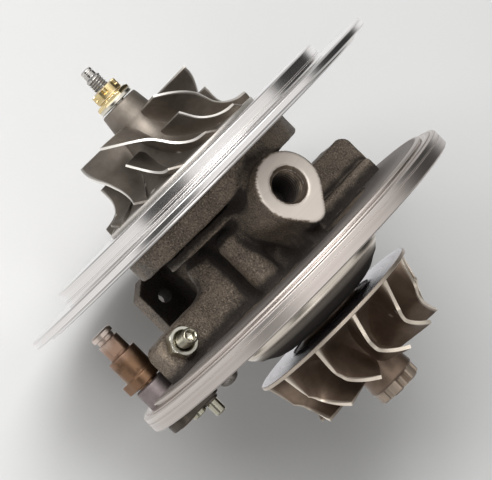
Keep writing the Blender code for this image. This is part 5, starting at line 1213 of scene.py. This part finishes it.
def makeStudio():
    # metal mirrors a pale room with a soft dark zone near the camera and one above its view, dimmer towards
    # both ends of the rotor; the light on the object comes from the lamps and a plain darker world
    world = bpy.data.worlds.new("studio")
    bpy.context.scene.world = world
    world.use_nodes = True
    tree = world.node_tree
    place = addNode(tree, "ShaderNodeTexCoord").outputs["Generated"]
    shades = []
    for aim, low, high in studio["darkZones"]:
        dot = addNode(tree, "ShaderNodeVectorMath", {0: place, 1: aim}, operation="DOT_PRODUCT")
        shades.append(ramp(tree, dot.outputs["Value"], low, high))
    seen = blend(tree, maths(tree, "MAXIMUM", *shades), grey(studio["pale"]), grey(studio["dark"]))
    sideways = maths(tree, "ABSOLUTE", addNode(tree, "ShaderNodeSeparateXYZ", {0: place}).outputs[0])
    dimmer = scaled(tree, ramp(tree, sideways, studio["dimFrom"], studio["dimTo"]), studio["dimming"])
    seen = blend(tree, dimmer, seen, grey(studio["dark"]))
    path = addNode(tree, "ShaderNodeLightPath").outputs
    mirrored = maths(tree, "MAXIMUM", path["Is Glossy Ray"], path["Is Transmission Ray"])
    light = blend(tree, mirrored, grey(studio["ambient"]), seen)
    back = tree.nodes["Background"]
    feed(tree, back, Color=blend(tree, path["Is Camera Ray"], light, studio["background"]))
    back.inputs["Strength"].default_value = 1.0


def makeFloor():
    # a wide pale disc below the object, which keeps its shadow and isn't mirrored in it
    steps = 96
    turn = np.linspace(0, 2 * pi, steps, endpoint=False)
    ring = np.stack([np.cos(turn), np.sin(turn), 0 * turn], axis=1) * studio["floorRadius"]
    points = np.concatenate([[(0, 0, 0)], ring]) + (0, 0, studio["floorLevel"])
    j = np.arange(steps)
    floor = meshPiece("floor", points, (), np.stack([0 * j, j + 1, (j + 1) % steps + 1], axis=1))
    floor.data.materials.append(startMaterial("paleFloor", Base_Color=studio["floor"], Roughness=0.7)[0])
    floor.visible_glossy = False


def softLamp(name, place, side, power):
    # a square area lamp that faces the middle of the object
    lamp = bpy.data.lights.new(name, "AREA")
    lamp.shape = "RECTANGLE"
    lamp.size = lamp.size_y = side * mm
    lamp.energy = power
    piece = bpy.data.objects.new(name, lamp)
    spot = Vector(place) * mm
    turn = (lampAim - spot).to_track_quat("-Z", "Y").to_matrix().to_4x4()
    piece.matrix_world = Matrix.Translation(spot) @ turn
    bpy.context.scene.collection.objects.link(piece)


makeStudio()
makeFloor()
for lampName, lampValues in lamps.items():
    softLamp(lampName, *lampValues)
bpy.context.scene.view_settings.view_transform = "Standard"
print("studio made")
